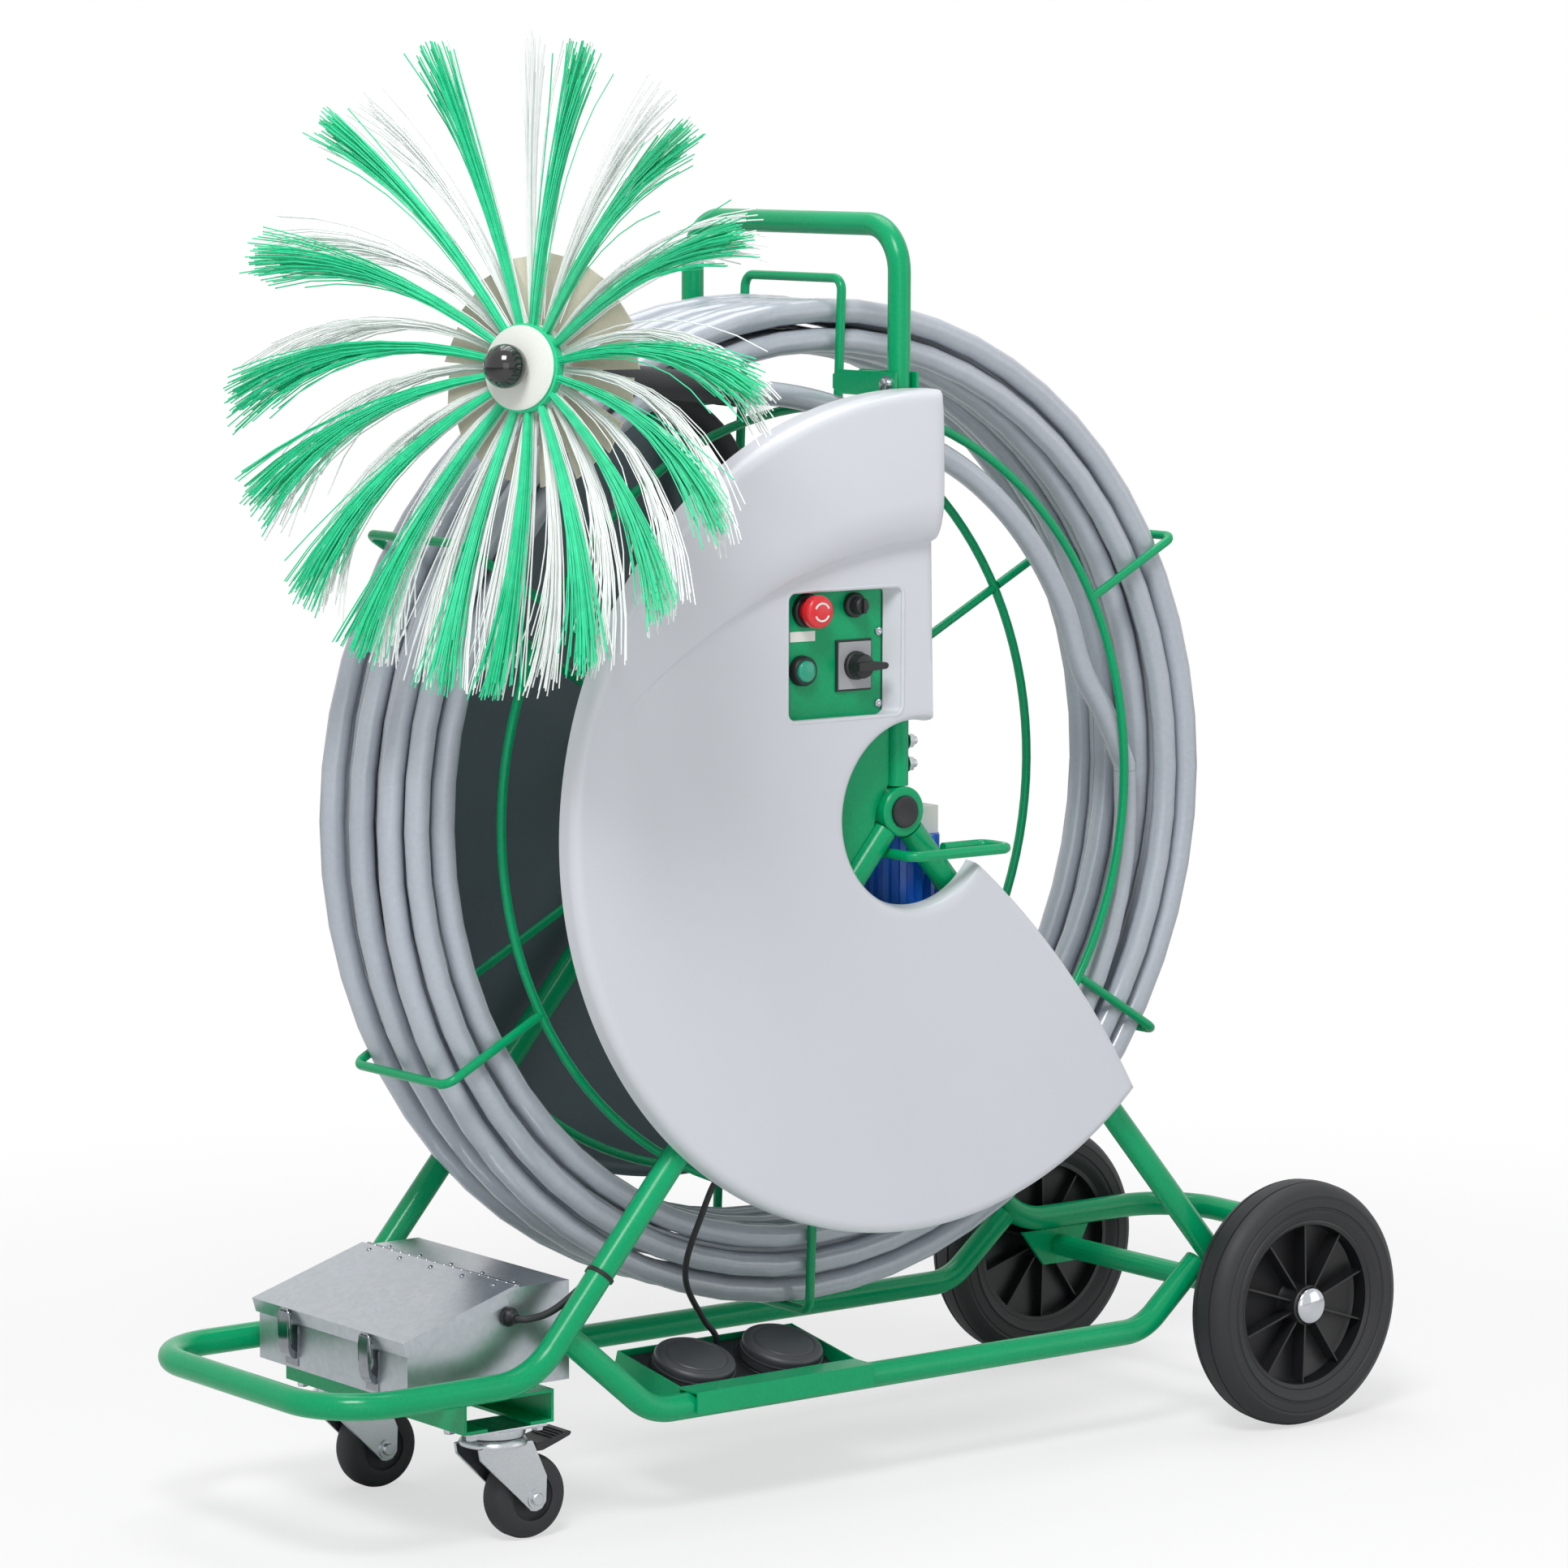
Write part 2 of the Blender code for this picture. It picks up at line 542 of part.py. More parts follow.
def tuft_ring(name, finish, parent, low, phase, tilt):
    """A slice of the brush's backing with its strands, each drawn out of one small face of the slice."""
    mesh = bmesh.new()
    inner, outer = BRUSH_CORE_R + GAP, BRUSH_RING_R
    pitch = 2 * math.pi / TUFTS
    cells = TUFT_STRANDS + 1
    levels = [low, low + BRUSH_RING_WIDTH / 2, low + BRUSH_RING_WIDTH]
    columns = []
    for tuft in range(TUFTS):
        for cell in range(cells):
            share = (cell / TUFT_STRANDS - 0.5) * 0.55 + 0.5
            angle = pitch * (tuft + phase + share)
            column = [mesh.verts.new((outer * math.cos(angle), outer * math.sin(angle), z)) for z in levels]
            columns.append((column, [mesh.verts.new((inner * math.cos(angle), inner * math.sin(angle), z))
                                     for z in (levels[0], levels[-1])]))
    bases = []
    for index, (column, edge) in enumerate(columns):
        after, after_edge = columns[(index + 1) % len(columns)]
        tuft, cell = divmod(index, cells)
        for row in range(len(levels) - 1):
            quad = (column[row], after[row], after[row + 1], column[row + 1])
            if cell < TUFT_STRANDS:
                bases.append((mesh.faces.new(quad[:3]), tuft, cell, row))
                mesh.faces.new((quad[0], quad[2], quad[3]))
            else:
                mesh.faces.new(quad)
        mesh.faces.new((column[0], edge[0], after_edge[0], after[0]))
        mesh.faces.new((column[-1], after[-1], after_edge[1], edge[1]))
        mesh.faces.new((edge[0], edge[1], after_edge[1], after_edge[0]))
    for base, tuft, cell, row in bases:
        angle = pitch * (tuft + phase + 0.5) + (cell - (TUFT_STRANDS - 1) / 2) * TUFT_SPREAD
        lean = tilt + (row - (TUFT_ROWS - 1) / 2) * 2 * TUFT_LEAN
        reach = BRUSH_TIP_R - outer - 0.012 * ((cell * 3 + row * 2 + tuft) % 4) / 3
        out = Vector((math.cos(angle) * math.cos(lean), math.sin(angle) * math.cos(lean), math.sin(lean)))
        drawn = bmesh.ops.extrude_discrete_faces(mesh, faces=[base])["faces"][0]
        centre = drawn.calc_center_median()
        for vert in drawn.verts:
            vert.co = centre + (vert.co - centre) * STRAND_TAPER + out * reach
    solid(name, mesh, finish, parent)


def vane_ring(parent):
    """Flat vanes cut from one disc, each twisted a little like a fan's blade."""
    inner, root = BRUSH_CORE_R + 3 * GAP, BRUSH_CORE_R + 0.010
    mesh = bmesh.new()
    pitch = 2 * math.pi / TUFTS
    spots = ((root, 0.06, 0), (VANE_R, 0.10, -VANE_PITCH), (VANE_R, 0.90, VANE_PITCH), (root, 0.94, 0))
    rims = {}
    for level, z in enumerate((-VANE_BACK, -VANE_BACK - SHEET)):
        outer = []
        bore = []
        for index in range(TUFTS):
            for radius, share, lift in spots:
                angle = pitch * (index + share)
                outer.append(mesh.verts.new((radius * math.cos(angle), radius * math.sin(angle),
                                             z + lift - VANE_PITCH)))
            for share in (0.06, 0.94):
                angle = pitch * (index + share)
                bore.append(mesh.verts.new((inner * math.cos(angle), inner * math.sin(angle),
                                            z - VANE_PITCH)))
        rims[level] = (outer, bore)
    (top, top_bore), (under, under_bore) = rims[0], rims[1]
    count = len(top)
    for index in range(count):
        after = (index + 1) % count
        mesh.faces.new((top[index], under[index], under[after], top[after]))
    for index in range(TUFTS):
        a, b, c, d = (4 * index + k for k in range(4))
        e, f, g = 2 * index, 2 * index + 1, (2 * index + 2) % (2 * TUFTS)
        n = (4 * index + 4) % count
        for face_top, inside, flip in ((top, top_bore, False), (under, under_bore, True)):
            for corners in ((face_top[a], face_top[b], face_top[c], face_top[d]),
                            (inside[e], face_top[a], face_top[d], inside[f]),
                            (inside[f], face_top[d], face_top[n], inside[g])):
                mesh.faces.new(reversed(corners) if flip else corners)
    for index in range(2 * TUFTS):
        after = (index + 1) % (2 * TUFTS)
        mesh.faces.new((top_bore[index], top_bore[after], under_bore[after], under_bore[index]))
    solid("brush_vanes", mesh, CREAM, parent)


def build_rear_wheels():
    """The axle carrier under the rear loop, and two wheels with ribbed rims, tyres and caps."""
    half = PLATE / 2
    carrier = solid("axle_carrier",
                    turned([(0, -MAST_Y), (AXLE_TUBE_R, -MAST_Y), (AXLE_TUBE_R, MAST_Y), (0, MAST_Y)], 16),
                    GREEN, machine, (AXLE_X, 0, WHEEL_R))
    stub = WHEEL_Y + WHEEL_WIDTH / 2 - 0.002 - GAP
    shaft = [(0, -stub), (AXLE_R, -stub), (AXLE_R, stub), (0, stub)]
    combine(carrier, solid("axle_shaft", turned(shaft, 16), GREEN, machine, (AXLE_X, 0, WHEEL_R)), "UNION")
    seat = LOOP_Z - TUBE_R - GAP - WHEEL_R
    low = -AXLE_TUBE_R - 0.008
    outline = [(-0.050, seat), (-0.020, low), (0.020, low), (0.040, seat)]
    for side in (-1, 1):
        plate = prism(outline, side * MAST_Y - half, side * MAST_Y + half)
        combine(carrier, solid(f"axle_plate_{side}", plate, GREEN, machine, (AXLE_X, 0, WHEEL_R)), "UNION")
    for prefix, side in (("near", -1), ("far", 1)):
        wheel = empty(f"{prefix}_wheel_axis", machine, (AXLE_X, side * WHEEL_Y, WHEEL_R),
                      Matrix.Rotation(math.pi if side > 0 else 0.0, 3, "Z").to_quaternion())
        tyre_and_rim(prefix, wheel)


def tyre_and_rim(prefix, wheel):
    """One wheel about its own Y axis, outer face towards -Y."""
    half = WHEEL_WIDTH / 2
    seat = RIM_R + GAP
    tyre = [(seat, -half + 0.005), (RIM_R + 0.010, -half), (WHEEL_R - 0.016, -half),
            (WHEEL_R - 0.004, -half + 0.008),
            (WHEEL_R, -half + 0.018), (WHEEL_R, half - 0.018), (WHEEL_R - 0.004, half - 0.008),
            (WHEEL_R - 0.016, half),
            (RIM_R + 0.010, half), (seat, half - 0.005)]
    solid(f"{prefix}_tyre", turned(tyre, 28), BLACK, wheel)
    bore, hub = AXLE_R + GAP, 0.020
    disc = 0.006
    profile = [(bore, -half + 0.002), (hub, -half + 0.002), (hub, disc - RIM_WALL),
               (RIM_R - RIM_WALL, disc - RIM_WALL),
               (RIM_R - RIM_WALL, -half + 0.007), (RIM_R, -half + 0.005), (RIM_R, half - 0.005),
               (RIM_R - RIM_WALL, half - 0.005), (RIM_R - RIM_WALL, disc), (hub, disc), (hub, half - 0.002),
               (bore, half - 0.002)]
    rim = solid(f"{prefix}_rim", turned(profile, 28), BLACK_PLASTIC, wheel)
    for index in range(RIM_SPOKES):
        angle = 2 * math.pi * (index + 0.5) / RIM_SPOKES
        low, high = (hub - 0.003, -half + 0.010, -0.0012), (RIM_R - 0.002, disc - 0.001, 0.0012)
        rib = solid(f"{prefix}_rib_{index}", block(low, high), BLACK_PLASTIC, wheel, (0, 0, 0),
                    (0, angle, 0))
        combine(rim, rib, "UNION")
    face = -half + 0.002 - GAP
    cap = [(0, face - 0.009), (CAP_R * 0.5, face - 0.008), (CAP_R * 0.85, face - 0.005), (CAP_R, face),
           (0, face)]
    solid(f"{prefix}_wheel_cap", turned(cap, 20), CHROME, wheel)


def build_casters():
    """The cross channel under the front loop and two braked swivel casters that trail to the rear."""
    top = LOOP_Z - TUBE_R - GAP
    low = CASTER_PLATE_TOP + GAP
    half, lip = CHANNEL_LENGTH / 2, 0.026
    wall = SHEET + 0.001
    outline = [(-half, low), (-half + lip, low), (-half + lip, low + wall), (-half + wall, low + wall),
               (-half + wall, top - wall),
               (half - wall, top - wall), (half - wall, low + wall), (half - lip, low + wall),
               (half - lip, low), (half, low),
               (half, top), (-half, top)]
    solid("caster_channel", prism([(CASTER_X + x, z) for x, z in outline], -CHANNEL_HALF_WIDTH,
                                  CHANNEL_HALF_WIDTH),
          GREEN, machine)
    for prefix, side in (("near", -1), ("far", 1)):
        caster(prefix, (CASTER_X, side * CASTER_Y, 0))


def caster(prefix, spot):
    """One caster: fixed top plate, swivel fork, wheel and brake pedal."""
    side = CASTER_PLATE_SIDE / 2
    under = CASTER_PLATE_TOP - 0.003
    base = empty(f"{prefix}_caster_base", machine, spot)
    plate = solid(f"{prefix}_caster_plate",
                  block((-side, -side * 0.6, under), (side, side * 0.6, CASTER_PLATE_TOP)), ZINC, base)
    race = [(0, under + 0.001), (0.030, under + 0.001), (0.030, under - 0.006), (0, under - 0.006)]
    combine(plate, solid(f"{prefix}_caster_race", turned(race, 20, "Z"), ZINC, base), "UNION")
    swivel = empty(f"{prefix}_caster_swivel", machine, spot)
    head = under - 0.006 - GAP
    inside = CASTER_WIDTH / 2 + 0.003
    crown = [(0, head), (0.027, head), (0.032, head - 0.005), (0.032, head - 0.008), (0, head - 0.008)]
    fork = solid(f"{prefix}_caster_fork", turned(crown, 20, "Z"), ZINC, swivel)
    leg = [(-0.030, head - 0.008), (-0.028, head - 0.018), (CASTER_TRAIL - 0.011, CASTER_R - 0.006),
           (CASTER_TRAIL, CASTER_R - 0.012),
           (CASTER_TRAIL + 0.011, CASTER_R - 0.004), (CASTER_TRAIL + 0.012, CASTER_R + 0.020),
           (0.030, head - 0.006), (-0.02, head - 0.006)]
    for sign in (-1, 1):
        low, high = sorted((sign * inside, sign * (inside + FORK_WALL)))
        combine(fork, solid(f"{prefix}_fork_leg_{sign}", prism(leg, low, high), ZINC, swivel), "UNION")
    reach = inside + FORK_WALL + 0.004
    pin = [(0, -reach), (CASTER_PIN_R, -reach), (CASTER_PIN_R, reach), (0, reach)]
    combine(fork, solid(f"{prefix}_caster_pin", turned(pin, 12), ZINC, swivel,
                        (CASTER_TRAIL, 0, CASTER_R)), "UNION")
    wheel = empty(f"{prefix}_caster_axis", swivel, (CASTER_TRAIL, 0, CASTER_R))
    half = CASTER_WIDTH / 2
    bore = CASTER_PIN_R + GAP
    profile = [(bore, -half - 0.002), (0.011, -half - 0.002), (0.011, -half + 0.004),
               (CASTER_HUB_R, -half + 0.004), (CASTER_HUB_R, -half),
               (CASTER_R - 0.007, -half), (CASTER_R, -half + 0.008), (CASTER_R, half - 0.008),
               (CASTER_R - 0.007, half), (CASTER_HUB_R, half),
               (CASTER_HUB_R, half - 0.004), (0.011, half - 0.004), (0.011, half + 0.002),
               (bore, half + 0.002)]
    solid(f"{prefix}_caster_wheel", turned(profile, 20), BLACK, wheel)
    hinge = Vector((BRAKE_X, 0, head - 0.014))
    brake = empty(f"{prefix}_brake_axis", swivel, hinge)
    width = inside - GAP
    lever = [(-0.004, -0.004), (0.004, -0.004), (0.034, 0.006), (0.036, 0.010), (0.030, 0.010),
             (0.004, 0.004), (-0.004, 0.004)]
    solid(f"{prefix}_brake_pedal", prism(lever, -width, width), BLACK_PLASTIC, brake)


def build_box():
    """A sheet-metal box with a sloped, hinged lid, two catches and a cable gland."""
    floor = LOOP_Z - TUBE_R
    back_top = BOX_TOP_Z
    outline = [(BOX_FRONT_X, floor), (BOX_BACK_X, floor), (BOX_BACK_X, back_top), (BOX_HINGE_X, back_top),
               (BOX_FRONT_X, BOX_FRONT_TOP_Z)]
    shell = solid("tool_box", prism(outline, -BOX_HALF_WIDTH, BOX_HALF_WIDTH), ZINC, machine)
    wall = SHEET
    lift = 0.05
    cut = [(BOX_FRONT_X + wall, floor + wall), (BOX_BACK_X - wall, floor + wall),
           (BOX_BACK_X - wall, back_top - wall),
           (BOX_HINGE_X - wall, back_top - wall), (BOX_HINGE_X - wall, back_top + lift),
           (BOX_FRONT_X + wall, back_top + lift)]
    inner = BOX_HALF_WIDTH - wall
    combine(shell, solid("box_hollow", prism(cut, -inner, inner), ZINC, machine), "DIFFERENCE")
    slope = math.atan2(back_top - BOX_FRONT_TOP_Z, BOX_HINGE_X - BOX_FRONT_X)
    length = (BOX_HINGE_X - BOX_FRONT_X) / math.cos(slope)
    hinge = empty("lid_hinge", machine, (BOX_HINGE_X, 0, back_top + SHEET),
                  Matrix.Rotation(-slope, 3, "Y").to_quaternion())
    clear = 0.0006
    ahead = clear + LID_SKIRT * math.tan(slope)
    over = wall + clear
    top = wall
    wide = BOX_HALF_WIDTH + over
    lid = solid("box_lid", block((-length - ahead - wall, -wide, GAP - SHEET), (-0.004, wide, top)), ZINC,
                hinge)
    skirt = solid("lid_skirt", block((-length - ahead - wall, -wide, -LID_SKIRT),
                                     (-0.016, wide, GAP - SHEET / 2)), ZINC, hinge)
    combine(lid, skirt, "UNION")
    hollow = block((-length - ahead, -BOX_HALF_WIDTH - clear, -LID_SKIRT - 0.01),
                   (0.01, BOX_HALF_WIDTH + clear, GAP - SHEET))
    combine(lid, solid("lid_hollow", hollow, ZINC, hinge), "DIFFERENCE")
    pin = [(0, -BOX_HALF_WIDTH), (0.0022, -BOX_HALF_WIDTH), (0.0022, BOX_HALF_WIDTH), (0, BOX_HALF_WIDTH)]
    combine(shell, solid("box_hinge_pin", turned(pin, 10), ZINC, machine,
                         (BOX_HINGE_X, 0, back_top - 0.0002)), "UNION")
    face = BOX_FRONT_X - 0.0075
    for prefix, side in (("near", -1), ("far", 1)):
        catch = empty(f"{prefix}_latch_axis", machine, (BOX_FRONT_X - GAP, side * LATCH_Y, floor + 0.010))
        reach = face - BOX_FRONT_X + GAP
        lever = [(0, 0), (0, 0.006), (reach + 0.0002, 0.014), (reach + 0.0002, 0.045),
                 (reach - 0.003, 0.045),
                 (reach - 0.003, 0.010), (-0.003, 0)]
        solid(f"{prefix}_latch", prism(lever, -0.010, 0.010), CHROME, catch)
    gland_x, gland_z = -0.424, 0.210
    near = -BOX_HALF_WIDTH - GAP
    gland = [(0, near), (0.009, near), (0.009, near - 0.006), (0.0055, near - 0.008),
             (0.0055, near - 0.014), (0, near - 0.014)]
    fitting = solid("box_cable", turned(gland, 12), BLACK, machine, (gland_x, 0, gland_z))
    side_y = -MAST_Y + TUBE_R + CABLE_R + GAP

    def by_leg(x):
        return x, side_y, HUB_Z + x * math.tan(LEG_ANGLE)
    plate_y = -MAST_Y + PLATE / 2 + GAP
    route = [(gland_x, near - 0.010, gland_z), (gland_x + 0.002, near - 0.018, gland_z),
             (gland_x + 0.020, side_y, gland_z + 0.001),
             by_leg(-0.360), by_leg(-0.300), by_leg(-0.220), by_leg(-0.150),
             (-0.127, side_y + 0.003, 0.531), (-0.1165, side_y - 0.001, 0.549),
             (-0.1165, plate_y + 0.006, 0.5495), (-0.1165, plate_y + GAP, 0.5495)]
    combine(fitting, tube("box_lead", smooth(route, 40), CABLE_R, BLACK, machine, 1), "UNION")


def build_pedals():
    """A folded tray hooked over the near rail, a twin base, two foot pedals and their thin tube."""
    over = TUBE_R + GAP
    top = RAIL_Z + over
    outside, inside = -RAIL_Y - TUBE_R - 0.001, -RAIL_Y + over
    along, up = Vector((math.cos(TRAY_TILT), math.sin(TRAY_TILT))), Vector((-math.sin(TRAY_TILT),
                                                                            math.cos(TRAY_TILT)))
    corner = Vector((inside + SHEET, RAIL_Z - 0.012))
    end = corner + along * TRAY_DEPTH
    low = corner - up * SHEET
    profile = [(outside - SHEET, RAIL_Z - 0.006), (outside, RAIL_Z - 0.006), (outside, top), (inside, top),
               (inside, low.y + 0.0006),
               tuple(end - up * SHEET + along * SHEET), tuple(end + up * TRAY_WALL + along * SHEET),
               tuple(end + up * TRAY_WALL), tuple(end),
               tuple(corner), (inside + SHEET, top + SHEET), (outside - SHEET, top + SHEET)]
    half = TRAY_LENGTH / 2
    tray = solid("pedal_tray", prism(profile, TRAY_CENTRE_X - half, TRAY_CENTRE_X + half, "X"), GREEN,
                 machine)
    cheek = [(inside + 0.0005, low.y + 0.001), tuple(end - up * SHEET * 0.5), tuple(end + up * TRAY_WALL),
             (inside + 0.0005, top + SHEET)]
    for sign in (-1, 1):
        edge = TRAY_CENTRE_X + sign * half
        low_x, high_x = sorted((edge, edge - sign * SHEET))
        combine(tray, solid(f"tray_cheek_{sign}", prism(cheek, low_x, high_x, "X"), GREEN, machine), "UNION")
    floor = empty("pedal_floor", machine, (TRAY_CENTRE_X, *corner),
                  Matrix.Rotation(TRAY_TILT, 3, "X").to_quaternion())
    mid = TRAY_DEPTH / 2 + 0.002
    reach = half - SHEET - 0.002
    base = solid("pedal_base", block((-reach, mid - 0.047, GAP), (reach, mid + 0.047, PEDAL_BASE_H)),
                 BLACK_PLASTIC, floor)
    shift = PEDAL_PITCH / 2
    bottom = PEDAL_BASE_H - 0.0005
    for name, sign in (("front_pedal", -1), ("rear_pedal", 1)):
        axis = empty(f"{name}_axis", floor, (sign * shift, mid, 0))
        deep = bottom - PEDAL_TRAVEL - GAP
        well = [(0, deep), (PEDAL_R + GAP, deep), (PEDAL_R + GAP, 0.02), (0, 0.02)]
        combine(base, solid(f"{name}_well", turned(well, 28, "Z"), BLACK_PLASTIC, axis), "DIFFERENCE")
        dome = [(0, bottom), (PEDAL_R, bottom), (PEDAL_R, bottom + 0.007), (PEDAL_R - 0.006, bottom + 0.011),
                (PEDAL_R - 0.018, bottom + 0.0125), (0, bottom + 0.013)]
        solid(name, turned(dome, 28, "Z"), BLACK_PLASTIC, axis)
    start = corner + along * (mid + 0.036) + up * (PEDAL_BASE_H + 2 * GAP)
    route = [(TRAY_CENTRE_X, *start), (TRAY_CENTRE_X, *(start + up * 0.008)), (-0.150, -0.060, 0.160),
             (-0.195, -0.090, 0.215),
             (-0.208, -0.130, 0.275), (-0.205, -0.166, 0.330), (-0.200, -0.186, 0.344),
             (-0.200, COVER_FACE_Y + COVER_WALL + 0.001, 0.345)]
    tube("pedal_tube", smooth(route, 22), 0.003, BLACK, machine, 1)


def cover_face(edge_x, bore_r, rim_r, back_y, face_y, shoulder, side):
    """The moulded C-shaped cover: a grid of points from its upright edge round to its slanted edge."""
    around, lip = 24, abs(face_y - back_y)
    mouth_angle = math.radians(-35)
    end_angle = math.radians(-46)
    profile = [(0.0, 0.85), (0.003, 0.18), (0.008, 0.0)]
    steps = [0.16, 0.34, 0.47, 0.58, 0.72, 0.86]
    round_r = 0.020
    rim = [(math.sin(a), 1 - math.cos(a)) for a in np.radians((20, 45, 70, 90))]
    rows = [(bore_r + offset, drop) for offset, drop in profile]
    rows += [(bore_r + (rim_r - round_r - bore_r) * share, 0.0) for share in steps]
    rows.append((rim_r - round_r, 0.0))
    rows += [(rim_r - round_r + round_r * out, down * round_r / lip) for out, down in rim]
    rows.append((rim_r + 0.0004, 1.0))
    shares = [0.0, 0.003, 0.008]
    shares += [0.008 + 0.984 * index / around for index in range(1, around)]
    shares += [0.992, 0.997, 1.0]
    end_drops = {0: 0.85, 1: 0.18, len(shares) - 1: 0.85, len(shares) - 2: 0.18}
    mesh = bmesh.new()
    grid = []
    for column, share in enumerate(shares):
        line = []
        for radius, drop in rows:
            start = math.acos((edge_x + 0.010 * min(max((radius - 0.28) / 0.10, 0.0), 1.0)) / radius)
            out = (radius - bore_r) / (rim_r - bore_r)
            end = 2 * math.pi + mouth_angle + (end_angle - mouth_angle) * out
            angle = start + (end - start) * share
            fade = max(0.0, 1 - (angle - start) / math.radians(75))
            band = min(max((radius - 0.268 - 0.05 * (1 - fade)) / 0.030, 0.0), 1.0)
            raised = shoulder * fade * band * band * (3 - 2 * band) * max(0.0, 1 - drop)
            depth = max(drop, end_drops.get(column, 0.0))
            y = face_y + (back_y - face_y) * depth + side * raised
            line.append(mesh.verts.new((radius * math.cos(angle), y, radius * math.sin(angle))))
        grid.append(line)
    for one, two in zip(grid, grid[1:]):
        for index in range(len(rows) - 1):
            mesh.faces.new((one[index], one[index + 1], two[index + 1], two[index]))
    return mesh


def build_covers():
    """The near cover with its control pocket, the plain far cover and the control gusset."""
    mesh = cover_face(COVER_EDGE_X, COVER_BORE_R, COVER_R, COVER_BACK_Y, COVER_FACE_Y, COVER_SHOULDER, -1)
    bmesh.ops.recalc_face_normals(mesh, faces=mesh.faces)
    if sum(face.normal.y * face.calc_area() for face in mesh.faces) > 0:
        bmesh.ops.reverse_faces(mesh, faces=mesh.faces)
    data = bpy.data.meshes.new("near_cover")
    mesh.to_mesh(data)
    mesh.free()
    data.shade_smooth()
    data.set_sharp_from_angle(angle=math.radians(50))
    cover = place("near_cover", data, GREY_SHELL, machine, (0, 0, HUB_Z))
    wall = cover.modifiers.new("wall", "SOLIDIFY")
    wall.thickness = COVER_WALL
    wall.offset = -1
    wide, high = PANEL_WIDTH / 2, PANEL_HEIGHT / 2
    edge = 0.004
    rear = COVER_FACE_Y + PANEL_DEPTH
    pocket = block((PANEL_X - wide - edge, COVER_FACE_Y + 0.001, PANEL_Z - high - edge),
                   (PANEL_X + wide + edge, rear, PANEL_Z + high + edge))
    combine(cover, solid("panel_pocket", pocket, GREY_SHELL, machine, (0, 0, HUB_Z)), "UNION")
    window = block((PANEL_X - wide, COVER_FACE_Y - 0.02, PANEL_Z - high),
                   (PANEL_X + wide, rear + 0.02, PANEL_Z + high))
    combine(cover, solid("panel_window", window, GREY_SHELL, machine, (0, 0, HUB_Z)), "DIFFERENCE")
    back = FAR_COVER_Y
    face = back + 0.0142
    inner = face - COVER_WALL
    dish = [(0.030, inner), (COVER_R - 0.012, inner), (COVER_R - COVER_WALL, back + 0.006),
            (COVER_R - COVER_WALL, back), (COVER_R, back),
            (COVER_R, back + 0.007), (COVER_R - 0.010, face), (0.030, face)]
    solid("far_cover", turned(dish, 36), DARK_SHELL, machine, (0, 0, HUB_Z))
    outline = [(-0.0113, 0.026), (-0.0113, 0.230), (-0.120, 0.230), (-0.120, -0.1207), (-0.0292, -0.0145),
               (-0.0258, 0.003), (-0.0185, 0.0175)]
    solid("control_gusset", prism(outline, -MAST_Y - PLATE / 2, -MAST_Y + PLATE / 2), GREEN, machine,
          (0, 0, HUB_Z))


